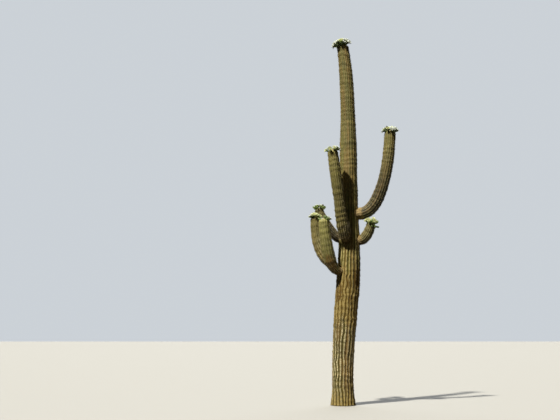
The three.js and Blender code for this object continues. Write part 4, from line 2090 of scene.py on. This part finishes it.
    def build_crowns(self) -> None:
        """Make the seven crowns, joined kind by kind."""
        crowns = self.crowns()
        gathered = [crown.gather() for crown in crowns]
        nodes = tuple(f"{crown.limb.name}_blossom_crown" for crown in crowns)
        for part, finish in CROWN_FINISHES.items():
            shapes = [shape for made in gathered for shape in made[part]]
            material = finish.material(f"{part.value}_finish")
            attach(make_piece(part.value, Shape.joined(shapes), material), nodes)

    def crowns(self) -> list[Crown]:
        """The crown on each tip, with the stretches of flowers that the photo shows.

        Returns:
            The crowns, the stem's first.
        """
        arms = self.arms
        bud, opening, white = Stage.BUD, Stage.OPENING, Stage.OPEN
        return [
            Crown(
                limb=self.stem, seed=301, size=1.42, tilt=11.0, tilt_towards=-115.0,
                spots=(
                    Spot(0, -170.0, white, 30.0), Spot(0, -120.0, bud), Spot(0, -80.0, white, 18.0),
                    Spot(0, -38.0, white, 26.0), Spot(0, 5.0, bud, 17.0), Spot(1, -30.0, white, 40.0),
                    Spot(1, 30.0, white), Spot(1, -90.0, opening), Spot(1, -140.0, white, 26.0),
                    Spot(1, 170.0, white), Spot(2, -130.0, opening, 40.0), Spot(2, 0.0, white, 90.0),
                ),
            ),
            Crown(
                limb=arms["front_arm"], seed=302, size=1.05,
                spots=(
                    Spot(0, -150.0, bud, 20.0), Spot(0, -95.0, opening), Spot(0, -48.0, bud),
                    Spot(0, 10.0, white, 36.0), Spot(1, -10.0, white, 60.0),
                    Spot(1, 180.0, white, 30.0), Spot(2, 0.0, white, 90.0),
                    Spot(0, 180.0, opening, 20.0), Spot(1, -110.0, bud, 36.0),
                ),
            ),
            Crown(
                limb=arms["long_right_arm"], seed=303, size=1.16,
                spots=(
                    Spot(0, -55.0, white, 34.0), Spot(1, -40.0, white, 50.0), Spot(0, 0.0, bud),
                    Spot(0, -105.0, opening, 18.0), Spot(1, 180.0, white, 44.0),
                    Spot(0, 180.0, white), Spot(0, -140.0, bud, 20.0), Spot(1, -110.0, bud, 22.0),
                    Spot(2, 180.0, white, 90.0), Spot(2, -50.0, opening, 50.0),
                ),
            ),
            Crown(
                limb=arms["short_right_arm"], seed=304, size=1.16,
                rows=(*TIP_ROWS, Row(1.10, 82.0, 0.052, 0.9)),
                spots=(
                    Spot(0, -20.0, bud, 34.0), Spot(0, -75.0, opening, 20.0),
                    Spot(0, 190.0, opening, 50.0), Spot(1, -60.0, opening, 40.0),
                    Spot(1, 180.0, opening, 60.0), Spot(1, -120.0, bud, 20.0),
                    Spot(2, 180.0, white, 60.0), Spot(2, -40.0, opening, 60.0),
                    Spot(3, -40.0, bud, 50.0), Spot(3, 165.0, None, 155.0),
                ),
            ),
            Crown(
                limb=arms["left_inner_arm"], seed=305, size=0.98, wool_reach=0.06,
                spots=(
                    Spot(0, -10.0, white, 26.0), Spot(0, -55.0, bud, 20.0), Spot(1, 0.0, white, 40.0),
                    Spot(0, -135.0, None, 70.0), Spot(1, -135.0, None, 70.0),
                    Spot(2, -135.0, None, 100.0),
                ),
            ),
            Crown(
                limb=arms["left_outer_arm"], seed=306, size=0.94,
                spots=(
                    Spot(0, 205.0, white, 30.0), Spot(0, -60.0, opening, 40.0),
                    Spot(0, -115.0, opening, 16.0), Spot(1, -100.0, opening, 40.0),
                    Spot(1, 180.0, white, 26.0),
                ),
            ),
            Crown(
                limb=arms["back_left_arm"], seed=307, size=1.04,
                spots=(
                    Spot(0, -90.0, bud, 100.0), Spot(1, -90.0, bud, 70.0),
                    Spot(1, 90.0, white, 80.0), Spot(2, 60.0, white, 100.0), Spot(0, 180.0, bud, 60.0),
                ),
            ),
        ]


def main() -> None:
    """Build the plant and its studio, in order."""
    logging.basicConfig(level=logging.INFO, format="%(message)s")
    Saguaro().build()
    Studio().build()


if __name__ == "__main__":
    main()
